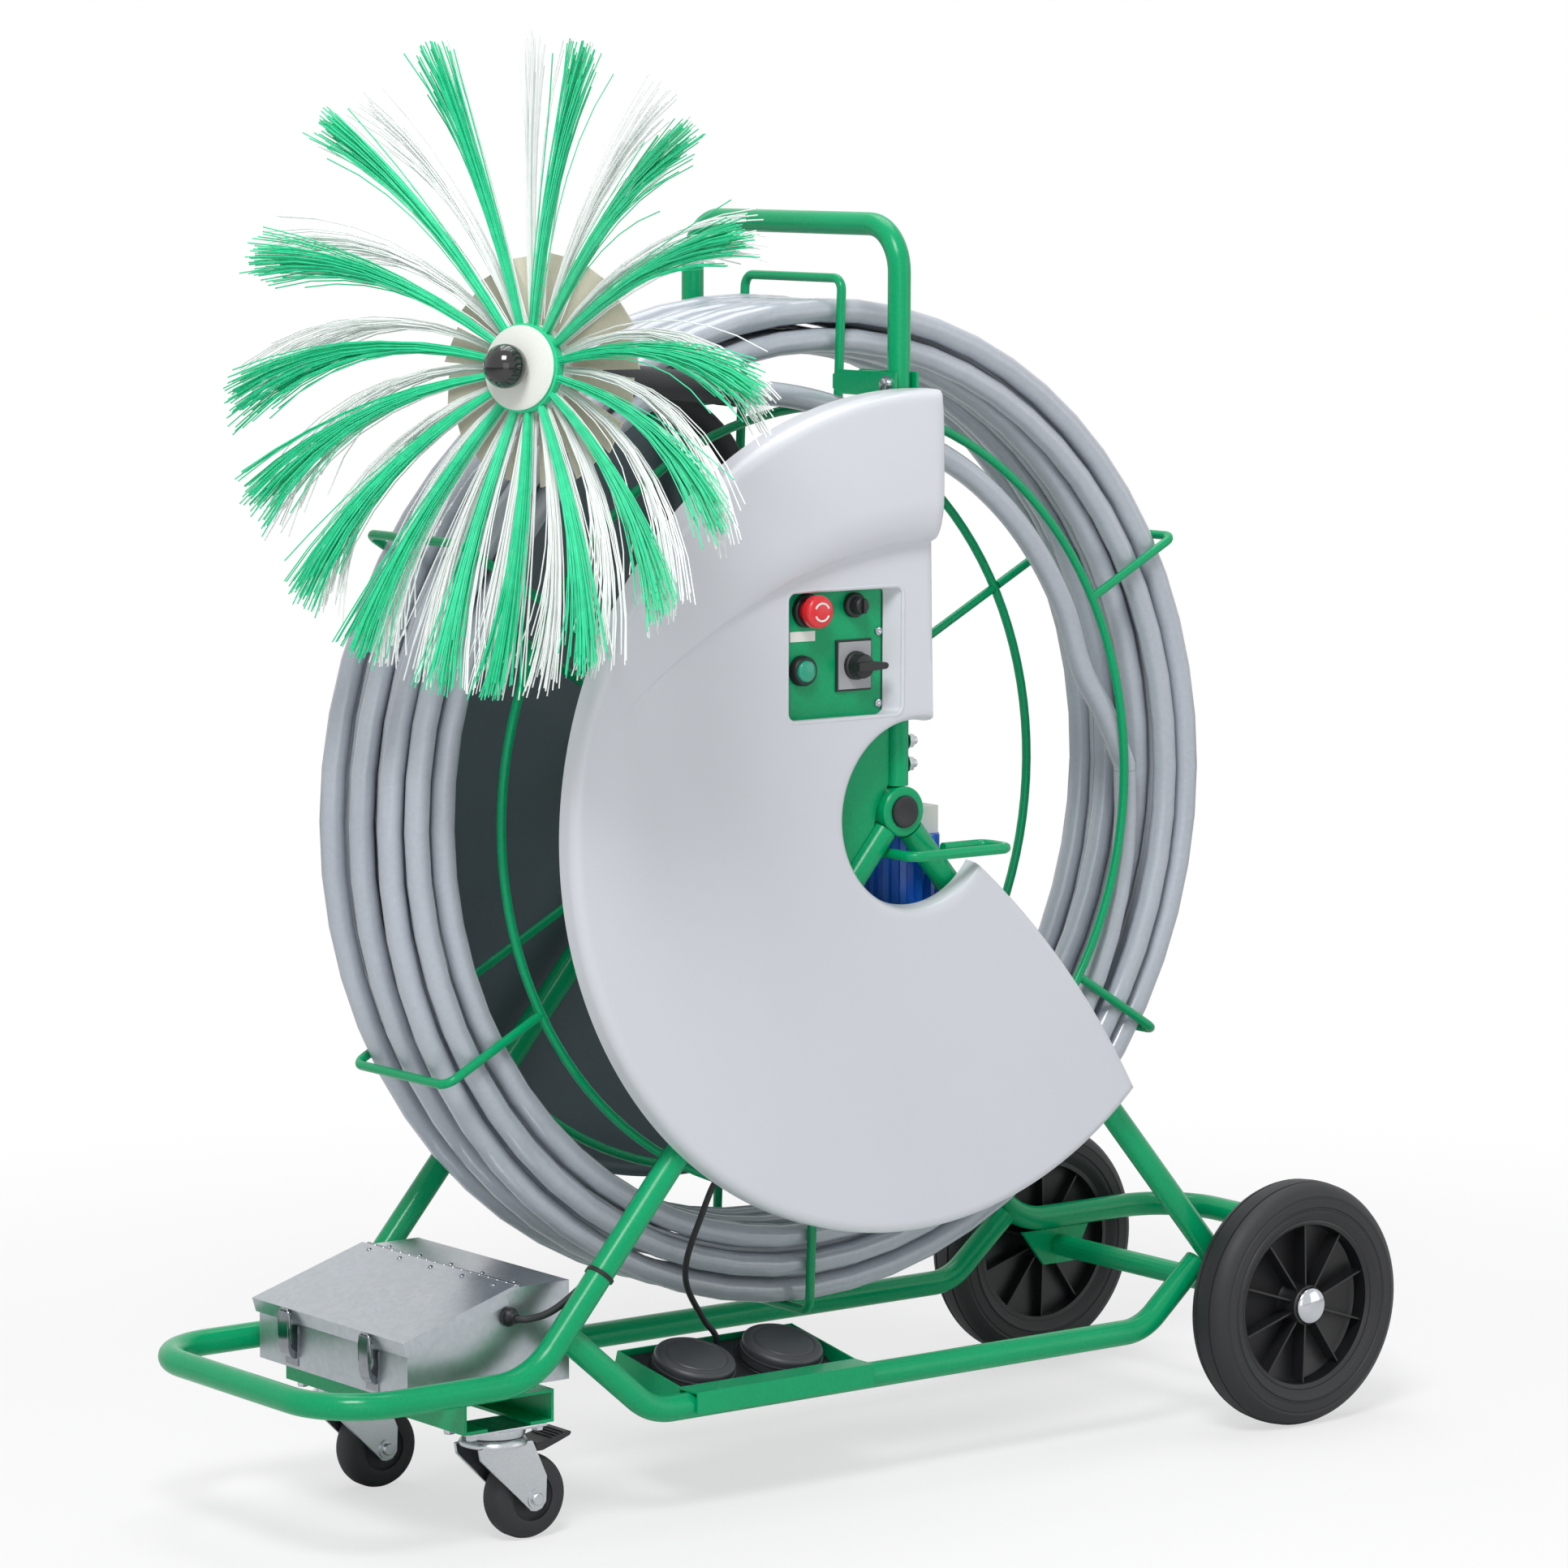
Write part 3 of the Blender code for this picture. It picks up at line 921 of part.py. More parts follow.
def build_controls():
    """The recessed control panel with its stop button, selector, start button and rotary switch."""
    rear = COVER_FACE_Y + PANEL_DEPTH + GAP
    wide, high = PANEL_WIDTH / 2 + 0.003, PANEL_HEIGHT / 2 + 0.003
    panel = empty("panel_origin", machine, (PANEL_X, rear, HUB_Z + PANEL_Z))
    body = solid("control_panel", block((-wide, 0, -high), (wide, SHEET, high)), GREEN, panel)
    depth = -MAST_Y - PLATE / 2 - GAP - rear
    for x in (-0.030, 0.030):
        post = solid(f"panel_post_{x}", block((x - 0.006, SHEET / 2, -0.006), (x + 0.006, depth, 0.006)),
                     GREEN, panel)
        combine(body, post, "UNION")
    travel = 0.004
    stop = [(0, -0.026), (0.013, -0.026), (0.0195, -0.022), (0.0195, -0.014), (0.012, -0.012),
            (0.012, -GAP - travel), (0, -GAP - travel)]
    seat = [(0.0123, SHEET / 2), (0.0148, SHEET / 2), (0.0148, -0.006), (0.0123, -0.006)]
    spots = {"stop": (-0.0235, 0.0390), "knob": (0.0185, 0.044), "start": (-0.0375, -0.014),
             "cam": (0.0185, -0.0125)}
    def at(key):
        return empty(f"{key}_axis", panel, (spots[key][0], 0, spots[key][1]))
    combine(body, solid("stop_collar", turned(seat, 20), GREEN, panel,
                        (spots["stop"][0], 0, spots["stop"][1])), "UNION")
    solid("stop_button", turned(stop, 20), RED, at("stop"))
    knob = [(0, -0.018), (0.007, -0.018), (0.009, -0.015), (0.010, -0.006), (0.0135, -0.005),
            (0.0135, -GAP), (0, -GAP)]
    solid("selector_knob", turned(knob, 18), BLACK_PLASTIC, at("knob"))
    bezel = [(0, 0), (0.0148, 0), (0.0148, -0.006), (0.0125, -0.008), (0.0125, -0.0035), (0, -0.0035)]
    combine(body, solid("start_bezel", turned(bezel, 20), GREEN, panel,
                        (spots["start"][0], 0, spots["start"][1])), "UNION")
    button = [(0, -0.012), (0.009, -0.012), (0.0122, -0.010), (0.0122, -0.0035 - GAP - 0.003),
              (0, -0.0035 - GAP - 0.003)]
    solid("start_button", turned(button, 20), GREEN_LENS, at("start"))
    side = 0.024
    solid("switch_plate", block((-0.0225, -0.004, -side), (0.0225, -GAP, side)), GREY_PLATE, panel,
          (spots["cam"][0], 0, spots["cam"][1]))
    cam = at("cam")
    dial = [(0, -0.020), (0.010, -0.020), (0.013, -0.017), (0.014, -0.004 - GAP), (0, -0.004 - GAP)]
    turn_knob = solid("switch_knob", turned(dial, 20), BLACK_PLASTIC, cam)
    lever = [(-0.012, -0.005), (0.016, -0.004), (0.026, -0.003), (0.026, 0.003), (0.016, 0.004),
             (-0.012, 0.005)]
    combine(turn_knob, solid("switch_lever", prism(lever, -0.024, -0.014), BLACK_PLASTIC, cam), "UNION")


def build_bracket_and_hook():
    """The hose bracket clamped on the near upright, and the rod hook for the mains lead."""
    z = HUB_Z + 0.4045
    inner, wall = MAST_R + GAP, 0.003
    half = 0.0115
    outline = [(-0.1752, -half), (-0.090, -half), (-0.080, -half + 0.005), (-0.080, half - 0.005),
               (-0.090, half), (-0.1752, half)]
    bracket = solid("hose_bracket", prism(outline, -inner - wall, -inner, "X"), GREEN, machine, (0, 0, z))
    combine(bracket, solid("bracket_side", prism(outline, inner, inner + wall, "X"), GREEN, machine,
                           (0, 0, z)), "UNION")
    web = block((-inner - wall / 2, -0.130, -half), (inner + wall / 2, -0.118, half))
    combine(bracket, solid("bracket_web", web, GREEN, machine, (0, 0, z)), "UNION")
    for name, low, high in (("front", -inner - 0.008, -inner - 0.001),
                            ("rear", inner + 0.001, inner + 0.008)):
        bolt = [(0, low), (0.0055, low), (0.0055, high), (0, high)]
        combine(bracket, solid(f"bracket_bolt_{name}", turned(bolt, 6, "X"), GREEN, machine,
                               (0, -MAST_Y, z)), "UNION")
    rod = 0.005
    hook_z = HUB_Z - 0.040
    leg_x = 0.040 / math.tan(LEG_ANGLE)
    arm_x = -leg_x + (TUBE_R + rod + GAP) / math.sin(LEG_ANGLE)
    side_x = leg_x + (TUBE_R + GAP) / math.sin(LEG_ANGLE) + 0.006
    route = [(arm_x, -0.150, hook_z), (arm_x, -0.203, hook_z), (0.108, -0.203, hook_z),
             (0.108, -MAST_Y, hook_z), (side_x, -MAST_Y, hook_z)]
    tube("cable_hook", rounded(route, [0.012] * 3, 3), rod, GREEN, machine, 2)


build_frame()
build_reel()
build_hose()
build_motor()
build_brush()
build_rear_wheels()
build_casters()
build_box()
build_pedals()
build_covers()
build_controls()
build_bracket_and_hook()
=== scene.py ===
"""Looks of a duct cleaning machine: a hose reel on a wheeled tube frame with a rotary brush.

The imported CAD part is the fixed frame. Each class below dresses one sub-assembly of it.
Metres, +Z up, +X towards the large wheels. Route points are written in machine coordinates, in which
y = 0 is the frame's middle plane and z = 0 the floor, and are shifted into the row frame by `at`.
"""
import logging
import math
import random
from dataclasses import dataclass
from enum import Enum
from typing import Iterable, Optional, Sequence

import bpy
from mathutils import Matrix, Vector

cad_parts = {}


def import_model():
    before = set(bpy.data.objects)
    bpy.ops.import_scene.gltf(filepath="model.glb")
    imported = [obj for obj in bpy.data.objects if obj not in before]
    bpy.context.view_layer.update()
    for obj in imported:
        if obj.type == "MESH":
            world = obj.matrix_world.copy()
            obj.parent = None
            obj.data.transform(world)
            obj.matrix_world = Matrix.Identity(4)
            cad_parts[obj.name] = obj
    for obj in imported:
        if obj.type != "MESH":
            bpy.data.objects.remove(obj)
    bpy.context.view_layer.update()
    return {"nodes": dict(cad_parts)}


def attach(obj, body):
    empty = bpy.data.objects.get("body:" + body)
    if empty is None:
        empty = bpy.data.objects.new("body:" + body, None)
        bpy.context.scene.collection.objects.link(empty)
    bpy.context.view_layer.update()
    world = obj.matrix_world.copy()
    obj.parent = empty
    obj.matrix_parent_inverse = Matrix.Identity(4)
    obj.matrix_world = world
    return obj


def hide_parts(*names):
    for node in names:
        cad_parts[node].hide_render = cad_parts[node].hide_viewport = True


LOG = logging.getLogger("duct_cleaning_machine")
Point = Sequence[float]

FRAME_SHIFT_Y = 0.115151
HUB_Z = 0.652
LEG_ANGLE = math.radians(49.5)
MAST_Y = 0.163
TUBE_R = 0.0125
HOSE_R = 0.0117
# The clearance that the CAD part keeps between neighbouring solids.
FIT_GAP = 0.0003
# Points of one mesh that are closer than this are one point.
MERGE = 0.000002
PHOTO_PIXELS = 1932
SENSOR_MM = 36.0
WHITE = (1.0, 1.0, 1.0, 1.0)


class Axis(Enum):
    """The direction that a turned or pulled form follows."""

    X = (1.0, 0.0, 0.0)
    Y = (0.0, 1.0, 0.0)
    Z = (0.0, 0.0, 1.0)

    def frame(self) -> tuple[Vector, Vector, Vector]:
        """The axis with its cross directions.

        Returns:
            Two directions across the axis, then the axis itself.
        """
        return {
            Axis.X: (Vector((0, 1, 0)), Vector((0, 0, 1)), Vector((1, 0, 0))),
            Axis.Y: (Vector((1, 0, 0)), Vector((0, 0, 1)), Vector((0, 1, 0))),
            Axis.Z: (Vector((1, 0, 0)), Vector((0, 1, 0)), Vector((0, 0, 1))),
        }[self]


class Pattern(Enum):
    """The surface pattern that a finish draws."""

    ORANGE_PEEL = "orange_peel"
    MOULD_GRAIN = "mould_grain"
    SPANGLE = "spangle"
    POLISH = "polish"
    FILAMENT = "filament"


def at(point: Point) -> Vector:
    """A point of machine coordinates in the row frame.

    Args:
        point: x, y and z in metres, y from the frame's middle plane.

    Returns:
        The same point in the row frame.
    """
    return Vector((point[0], point[1] + FRAME_SHIFT_Y, point[2]))


def polar(radius: float, degrees: float, y: float) -> Vector:
    """A point round the reel's axle.

    Args:
        radius: distance from the axle.
        degrees: angle from +X towards +Z.
        y: place along the axle in machine coordinates.

    Returns:
        The point in the row frame.
    """
    angle = math.radians(degrees)
    return at((radius * math.cos(angle), y, HUB_Z + radius * math.sin(angle)))


def linear(code: str) -> tuple[float, float, float, float]:
    """An sRGB hex colour as linear RGBA.

    Args:
        code: colour such as "#0a7a40".

    Returns:
        Linear red, green and blue with alpha 1.
    """
    shares = [int(code[index:index + 2], 16) / 255 for index in (1, 3, 5)]
    mapped = [share / 12.92 if share <= 0.04045 else ((share + 0.055) / 1.055) ** 2.4 for share in shares]
    return (mapped[0], mapped[1], mapped[2], 1.0)


def add_node(tree: bpy.types.NodeTree, kind: str, links: Optional[dict] = None,
             **settings: object) -> bpy.types.Node:
    """Adds one shader node, with its settings and links.

    Args:
        tree: the material's node tree.
        kind: the node's type name.
        links: input name to the output socket that feeds it, or to a plain value.
        settings: attributes of the node.

    Returns:
        The new node.
    """
    node = tree.nodes.new(kind)
    for key, value in settings.items():
        setattr(node, key, value)
    for key, value in (links or {}).items():
        if isinstance(value, bpy.types.NodeSocket):
            tree.links.new(value, node.inputs[key])
        else:
            node.inputs[key].default_value = value
    return node


@dataclass(frozen=True)
class Finish:
    """One real material: its slot in the record, its colours and how its surface was made.

    grain_mm is the size of the pattern's cells, relief how strongly they stand out, and wear how far the
    roughness strays over a hand's breadth.
    """

    name: str
    slot: str
    colour: str
    shade: str
    roughness: float
    pattern: Pattern
    grain_mm: float
    relief: float
    metallic: float = 0.0
    ior: float = 1.5
    coat: float = 0.0
    wear: float = 0.08

    def material(self) -> bpy.types.Material:
        """Builds the node material once and gives it back afterwards.

        Returns:
            The finish's material.
        """
        found = bpy.data.materials.get(self.name)
        if found:
            return found
        made = bpy.data.materials.new(self.name)
        made.use_nodes = True
        tree = made.node_tree
        shader = tree.nodes["Principled BSDF"]
        shader.inputs["Metallic"].default_value = self.metallic
        shader.inputs["IOR"].default_value = self.ior
        shader.inputs["Coat Weight"].default_value = self.coat
        shader.inputs["Coat Roughness"].default_value = 0.12
        where = add_node(tree, "ShaderNodeTexCoord").outputs["Object"]
        cell = 1000.0 / self.grain_mm
        if self.pattern is Pattern.SPANGLE:
            fine = add_node(tree, "ShaderNodeTexVoronoi", {"Vector": where, "Scale": cell}, feature="F1")
            value = fine.outputs["Color"]
            height = fine.outputs["Distance"]
        else:
            detail = 6.0 if self.pattern in (Pattern.MOULD_GRAIN, Pattern.FILAMENT) else 2.0
            fine = add_node(tree, "ShaderNodeTexNoise", {"Vector": where, "Scale": cell, "Detail": detail})
            value = fine.outputs["Fac"]
            height = fine.outputs["Fac"]
        broad = add_node(tree, "ShaderNodeTexNoise", {"Vector": where, "Scale": 7.0, "Detail": 3.0})
        blend = add_node(tree, "ShaderNodeMix", {0: 0.5, 2: value, 3: broad.outputs["Fac"]},
                         data_type="FLOAT")
        ramp = add_node(tree, "ShaderNodeValToRGB", {"Fac": blend.outputs[0]})
        ramp.color_ramp.elements[0].position = 0.30
        ramp.color_ramp.elements[1].position = 0.66
        ramp.color_ramp.elements[0].color = linear(self.shade)
        ramp.color_ramp.elements[1].color = linear(self.colour)
        tree.links.new(ramp.outputs["Color"], shader.inputs["Base Color"])
        rough = add_node(tree, "ShaderNodeMapRange", {
            "Value": broad.outputs["Fac"], "From Min": 0.3, "From Max": 0.7,
            "To Min": max(self.roughness - self.wear, 0.02), "To Max": self.roughness + self.wear})
        tree.links.new(rough.outputs["Result"], shader.inputs["Roughness"])
        bump = add_node(tree, "ShaderNodeBump", {"Height": height,
                                                 "Strength": self.relief, "Distance": 0.0006})
        tree.links.new(bump.outputs["Normal"], shader.inputs["Normal"])
        return made


# Powder-coated steel tube: a clear green gloss with the soft ripple of a sprayed and baked coat.
GREEN_ENAMEL = Finish("green_powder_coat", "green_enamel", "#00a66c", "#009861", 0.24,
                      Pattern.ORANGE_PEEL, 3.0, 0.10, ior=1.34)
# Vacuum-formed ABS: pale grey, satin, with a faint mould grain drawn coarser than life so that it shows.
GREY_ABS = Finish("grey_formed_abs", "grey_moulding", "#d2d5dc", "#d0d3da", 0.34, Pattern.MOULD_GRAIN, 1.2,
                  0.05, coat=0.15, wear=0.015)
# The same sheet, matt on its back, in a dark grey that is partly its own tone and partly painted shade of the
# far cover's shadowed inside.
DARK_ABS_PAINTED_SHADE = Finish("dark_formed_abs_painted_shade", "dark_moulding", "#5b676f", "#545f66", 0.48,
                  Pattern.MOULD_GRAIN, 1.5, 0.08)
# Extruded polyethylene sheath: smooth grey with a satin sheen and slight drag marks.
HOSE_SHEATH = Finish("grey_extruded_sheath", "grey_hose", "#b6bcc6", "#adb3bd", 0.20, Pattern.ORANGE_PEEL,
                     5.0, 0.02, coat=0.4, wear=0.04)
# Vulcanised rubber: near black, with a dusty bloom.
TYRE_RUBBER = Finish("black_vulcanised_rubber", "black_rubber", "#26272a", "#1c1d20", 0.62,
                     Pattern.MOULD_GRAIN, 1.5, 0.20)
# Moulded polypropylene: black, with a fine spark-eroded grain.
BLACK_PP = Finish("black_moulded_polypropylene", "black_plastic", "#1b1c1f", "#141517", 0.40,
                  Pattern.MOULD_GRAIN, 0.9, 0.12)
# Gloss black phenolic ball.
BLACK_PHENOLIC = Finish("black_phenolic", "black_plastic", "#0d0e10", "#0a0b0c", 0.10, Pattern.POLISH, 8.0,
                        0.01, coat=0.6, wear=0.03)
# Galvanised sheet: zinc crystals a few millimetres across.
GALVANISED = Finish("galvanised_sheet", "zinc_plate", "#b6bbc1", "#adb3b9", 0.32,
                    Pattern.SPANGLE, 5.0, 0.02, metallic=0.9)
# Bright zinc plate on pressed steel.
BRIGHT_ZINC = Finish("bright_zinc_plate", "zinc_plate", "#c6c9cd", "#b2b6bb", 0.26, Pattern.POLISH, 2.0,
                     0.04, metallic=1.0, wear=0.05)
# Polished chrome: a clean, bright mirror.
CHROME = Finish("polished_chrome", "chrome", "#c9ccd0", "#b9bdc2", 0.12, Pattern.POLISH, 10.0,
                0.01, metallic=1.0, wear=0.03)
# Plated sprung steel: chrome with a darker base colour, a painted dark reflection standing in for the darker
# surroundings that the catches and the hinge mirror.
CHROME_PAINTED_DARK_REFLECTION = Finish("chrome_painted_dark_reflection", "chrome", "#94989d", "#7d8187", 0.16, Pattern.POLISH, 6.0,
                0.02, metallic=1.0, wear=0.05)
# Turned nylon: milky white, satin.
NYLON = Finish("white_turned_nylon", "white_nylon", "#eef0ea", "#e2e5dd", 0.42,
               Pattern.MOULD_GRAIN, 1.5, 0.05)
# Die-cut polypropylene vanes: cream, matt.
CREAM_SHEET = Finish("cream_cut_sheet", "cream_vane", "#d6d1bf", "#c6c0ac", 0.50,
                     Pattern.MOULD_GRAIN, 2.0, 0.06)
# Drawn nylon filament: bright green, and natural white.
GREEN_FILAMENT = Finish("green_drawn_filament", "green_bristle", "#46e6ae", "#22cc92", 0.34,
                        Pattern.FILAMENT, 9.0, 0.0)
WHITE_FILAMENT = Finish("white_drawn_filament", "white_bristle", "#fbfdfc", "#eef3f2", 0.38,
                        Pattern.FILAMENT, 9.0, 0.0)
# Moulded rubber pedal caps: charcoal, a little paler in random patches.
PEDAL_RUBBER = Finish("charcoal_moulded_rubber", "black_plastic", "#45474b", "#36383c", 0.46,
                      Pattern.MOULD_GRAIN, 1.2, 0.12)
# Enamelled casting: strong blue, with the casting's skin showing through.
BLUE_ENAMEL = Finish("blue_cast_enamel", "blue_enamel", "#1768d8", "#125bc2", 0.34,
                     Pattern.ORANGE_PEEL, 2.5, 0.18, coat=0.2)
# Moulded ABS buttons: clear red and green, glossy.
RED_ABS = Finish("red_moulded_abs", "red_plastic", "#e2232d", "#cf1923", 0.28,
                 Pattern.MOULD_GRAIN, 1.5, 0.03, coat=0.3)
GREEN_ABS = Finish("green_moulded_abs", "green_button", "#12a281", "#0f9274", 0.30,
                   Pattern.MOULD_GRAIN, 1.5, 0.03, coat=0.3)
# Moulded nylon plate: mid grey, satin.
GREY_NYLON = Finish("grey_moulded_nylon", "grey_plate", "#a6a8ac", "#9c9ea2", 0.42,
                    Pattern.MOULD_GRAIN, 1.0, 0.06)


class Bench:
    """The modelling bench: operators that start, shape and finish one piece at a time."""

    @staticmethod
    def clear() -> None:
        """Leaves edit mode and deselects everything."""
        if bpy.context.mode != "OBJECT":
            bpy.ops.object.mode_set(mode="OBJECT")
        bpy.ops.object.select_all(action="DESELECT")

    @staticmethod
    def only(piece: bpy.types.Object) -> None:
        """Selects one piece and makes it active.

        Args:
            piece: the piece to work on.
        """
        Bench.clear()
        piece.select_set(True)
        bpy.context.view_layer.objects.active = piece

    @staticmethod
    def tidy(piece: bpy.types.Object, smooth_degrees: float = 40.0) -> bpy.types.Object:
        """Merges doubles, points the faces outwards and sets the shading.

        Args:
            piece: a mesh with closed shells.
            smooth_degrees: edges flatter than this shade smooth.

        Returns:
            The same piece.
        """
        Bench.only(piece)
        bpy.ops.object.mode_set(mode="EDIT")
        bpy.ops.mesh.select_all(action="SELECT")
        bpy.ops.mesh.remove_doubles(threshold=MERGE)
        bpy.ops.mesh.dissolve_degenerate(threshold=MERGE)
        bpy.ops.mesh.normals_make_consistent(inside=False)
        bpy.ops.object.mode_set(mode="OBJECT")
        bpy.ops.object.shade_smooth_by_angle(angle=math.radians(smooth_degrees))
        return piece

    @staticmethod
    def modify(piece: bpy.types.Object, kind: str, **settings: object) -> bpy.types.Object:
        """Adds a modifier and applies it.

        Args:
            piece: the mesh to change.
            kind: the modifier's type.
            settings: its settings.

        Returns:
            The same piece.
        """
        Bench.only(piece)
        step = piece.modifiers.new(kind.lower(), kind)
        for key, value in settings.items():
            setattr(step, key, value)
        bpy.ops.object.modifier_apply(modifier=step.name)
        return piece

    @staticmethod
    def lathe(name: str, profile: Sequence[Point], centre: Vector, axis: Axis = Axis.Y,
              steps: int = 64) -> bpy.types.Object:
        """A turned form: a loop of points placed on the profile and spun about the axis.

        Args:
            name: the piece's name.
            profile: closed (radius, height) points.
            centre: the row-frame point of height 0.
            axis: the turning axis.
            steps: faces round the form.

        Returns:
            The new piece.
        """
        Bench.clear()
        across, _, along = axis.frame()
        bpy.ops.mesh.primitive_circle_add(vertices=len(profile), radius=1.0, fill_type="NOTHING")
        piece = bpy.context.object
        piece.name = name
        for vert, (radius, height) in zip(piece.data.vertices, profile):
            vert.co = centre + across * radius + along * height
        bpy.ops.object.mode_set(mode="EDIT")
        bpy.ops.mesh.select_all(action="SELECT")
        bpy.ops.mesh.spin(steps=steps, angle=2 * math.pi, center=tuple(centre), axis=axis.value)
        bpy.ops.object.mode_set(mode="OBJECT")
        return Bench.tidy(piece)

    @staticmethod
    def pulled(name: str, outline: Sequence[Point], low: float, high: float, axis: Axis,
               centre: Vector = Vector(), bevel: float = 0.0) -> bpy.types.Object:
        """A flat outline pulled into a solid, with its edges broken.

        Args:
            name: the piece's name.
            outline: points in the two directions across the axis.
            low: where the pull starts along the axis.
            high: where it ends.
            axis: the direction of the pull.
            centre: what the outline is measured from.
            bevel: width of the broken edges.

        Returns:
            The new piece.
        """
        Bench.clear()
        one, two, along = axis.frame()
        bpy.ops.mesh.primitive_circle_add(vertices=len(outline), radius=1.0, fill_type="NGON")
        piece = bpy.context.object
        piece.name = name
        for vert, (first, second) in zip(piece.data.vertices, outline):
            vert.co = centre + one * first + two * second + along * low
        bpy.ops.object.mode_set(mode="EDIT")
        bpy.ops.mesh.select_all(action="SELECT")
        bpy.ops.mesh.extrude_region_move(TRANSFORM_OT_translate={"value": tuple(along * (high - low))})
        bpy.ops.object.mode_set(mode="OBJECT")
        Bench.tidy(piece)
        if bevel:
            Bench.modify(piece, "BEVEL", width=bevel, segments=2, limit_method="ANGLE",
                         angle_limit=math.radians(30))
            Bench.tidy(piece)
        return piece

    @staticmethod
    def slab(name: str, low: Vector, high: Vector, bevel: float = 0.0) -> bpy.types.Object:
        """A box between two corners with broken edges.

        Args:
            name: the piece's name.
            low: lowest corner.
            high: highest corner.
            bevel: width of the broken edges.

        Returns:
            The new piece.
        """
        outline = ((low.x, low.y), (high.x, low.y), (high.x, high.y), (low.x, high.y))
        return Bench.pulled(name, outline, low.z, high.z, Axis.Z, bevel=bevel)

    @staticmethod
    def curve(name: str, paths: Iterable[Sequence[Vector]], radius: float, sides: int,
              closed: bool = False) -> bpy.types.Object:
        """A round-section curve along one or more paths.

        Args:
            name: the piece's name.
            paths: the centre lines in the row frame.
            radius: the section's radius.
            sides: faces round the section, an even number from 4.
            closed: whether each path is a ring.

        Returns:
            The new curve.
        """
        Bench.clear()
        bpy.ops.curve.primitive_nurbs_path_add()
        piece = bpy.context.object
        piece.name = name
        data = piece.data
        data.splines.clear()
        data.bevel_depth = radius
        data.bevel_resolution = max((sides - 4) // 2, 0)
        data.use_fill_caps = True
        for path in paths:
            spline = data.splines.new("POLY")
            spline.points.add(len(path) - 1)
            for point, where in zip(spline.points, path):
                point.co = (where[0], where[1], where[2], 1.0)
            spline.use_cyclic_u = closed
            spline.use_smooth = True
        return piece

    @staticmethod
    def tube(name: str, paths: Iterable[Sequence[Vector]], radius: float, sides: int = 20,
             closed: bool = False) -> bpy.types.Object:
        """A curve made into a mesh tube.

        Args:
            name: the piece's name.
            paths: the centre lines in the row frame.
            radius: the section's radius.
            sides: faces round the section, an even number from 4.
            closed: whether each path is a ring.

        Returns:
            The new piece.
        """
        Bench.curve(name, paths, radius, sides, closed)
        bpy.ops.object.convert(target="MESH")
        return Bench.tidy(bpy.context.object, 50.0)

    @staticmethod
    def join(name: str, pieces: Sequence[bpy.types.Object]) -> bpy.types.Object:
        """Joins pieces into one.

        Args:
            name: the joined piece's name.
            pieces: the meshes to join.

        Returns:
            The joined piece.
        """
        Bench.only(pieces[0])
        for piece in pieces:
            piece.select_set(True)
        bpy.ops.object.join()
        pieces[0].name = name
        return pieces[0]

    @staticmethod
    def cut(piece: bpy.types.Object, tool: bpy.types.Object,
            operation: str = "DIFFERENCE") -> bpy.types.Object:
        """Cuts or adds a tool body and removes the tool.

        Args:
            piece: the mesh that is changed.
            tool: the mesh that changes it.
            operation: the Boolean's name.

        Returns:
            The changed piece.
        """
        Bench.modify(piece, "BOOLEAN", operation=operation, solver="EXACT", object=tool)
        bpy.data.objects.remove(tool, do_unlink=True)
        return piece


def dress(piece: bpy.types.Object, finish: Finish, body: str, *nodes: str) -> bpy.types.Object:
    """Gives a piece its finish, the body it rides on and the CAD nodes it stands for.

    Args:
        piece: the new piece.
        finish: its material.
        body: the CAD body.
        nodes: the CAD nodes that it replaces.

    Returns:
        The same piece.
    """
    piece.data.materials.clear()
    piece.data.materials.append(finish.material())
    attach(piece, body)
    if nodes:
        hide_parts(*nodes)
    LOG.info("%s rides on %s", piece.name, body)
    return piece


def rounded(points: Sequence[Point], radii: Sequence[float], steps: int = 12) -> list[Vector]:
    """A path through the points with each inner corner turned into an arc.

    Args:
        points: the path's corners, in machine coordinates.
        radii: the bend radius at each inner corner.
        steps: segments in each bend.

    Returns:
        The path in the row frame.
    """
    path = [at(points[0])]
    for before, corner, after, radius in zip(points, points[1:], points[2:], radii):
        here = at(corner)
        towards, away = (at(before) - here).normalized(), (at(after) - here).normalized()
        half = towards.angle(away) / 2
        reach = radius / math.tan(half)
        centre = here + (towards + away).normalized() * radius / math.sin(half)
        first = (here + towards * reach - centre).normalized()
        last = (here + away * reach - centre).normalized()
        path.extend(centre + first.slerp(last, index / steps) * radius for index in range(steps + 1))
    path.append(at(points[-1]))
    return path


def smooth(points: Sequence[Vector], count: int) -> list[Vector]:
    """Evenly spread points on a smooth curve through the route's points.

    Args:
        points: the route in the row frame.
        count: how many points come back.

    Returns:
        The points of the curve.
    """
    route = [Vector(p) for p in points]
    spans = [(two - one).length for one, two in zip(route, route[1:])]
    slopes = [(two - one) / span for one, two, span in zip(route, route[1:], spans)]
    tangents = [slopes[0]]
    for before, after, one, two in zip(spans, spans[1:], slopes, slopes[1:]):
        tangents.append((one * after + two * before) / (before + after))
    tangents.append(slopes[-1])
    total = sum(spans)
    path, span, start = [], 0, 0.0
    for index in range(count):
        along = total * index / (count - 1)
        while span < len(spans) - 1 and along > start + spans[span]:
            start += spans[span]
            span += 1
        t, size = min((along - start) / spans[span], 1.0), spans[span]
        path.append(route[span] * (1 + 2 * t) * (1 - t) ** 2 + route[span + 1] * t * t * (3 - 2 * t)
                    + tangents[span] * size * t * (1 - t) ** 2 + tangents[span + 1] * size * t * t * (t - 1))
    return path


def ease(share: float) -> float:
    """A smooth step.

    Args:
        share: how far along the step, held between 0 and 1.

    Returns:
        The eased share.
    """
    held = min(max(share, 0.0), 1.0)
    return held * held * (3 - 2 * held)


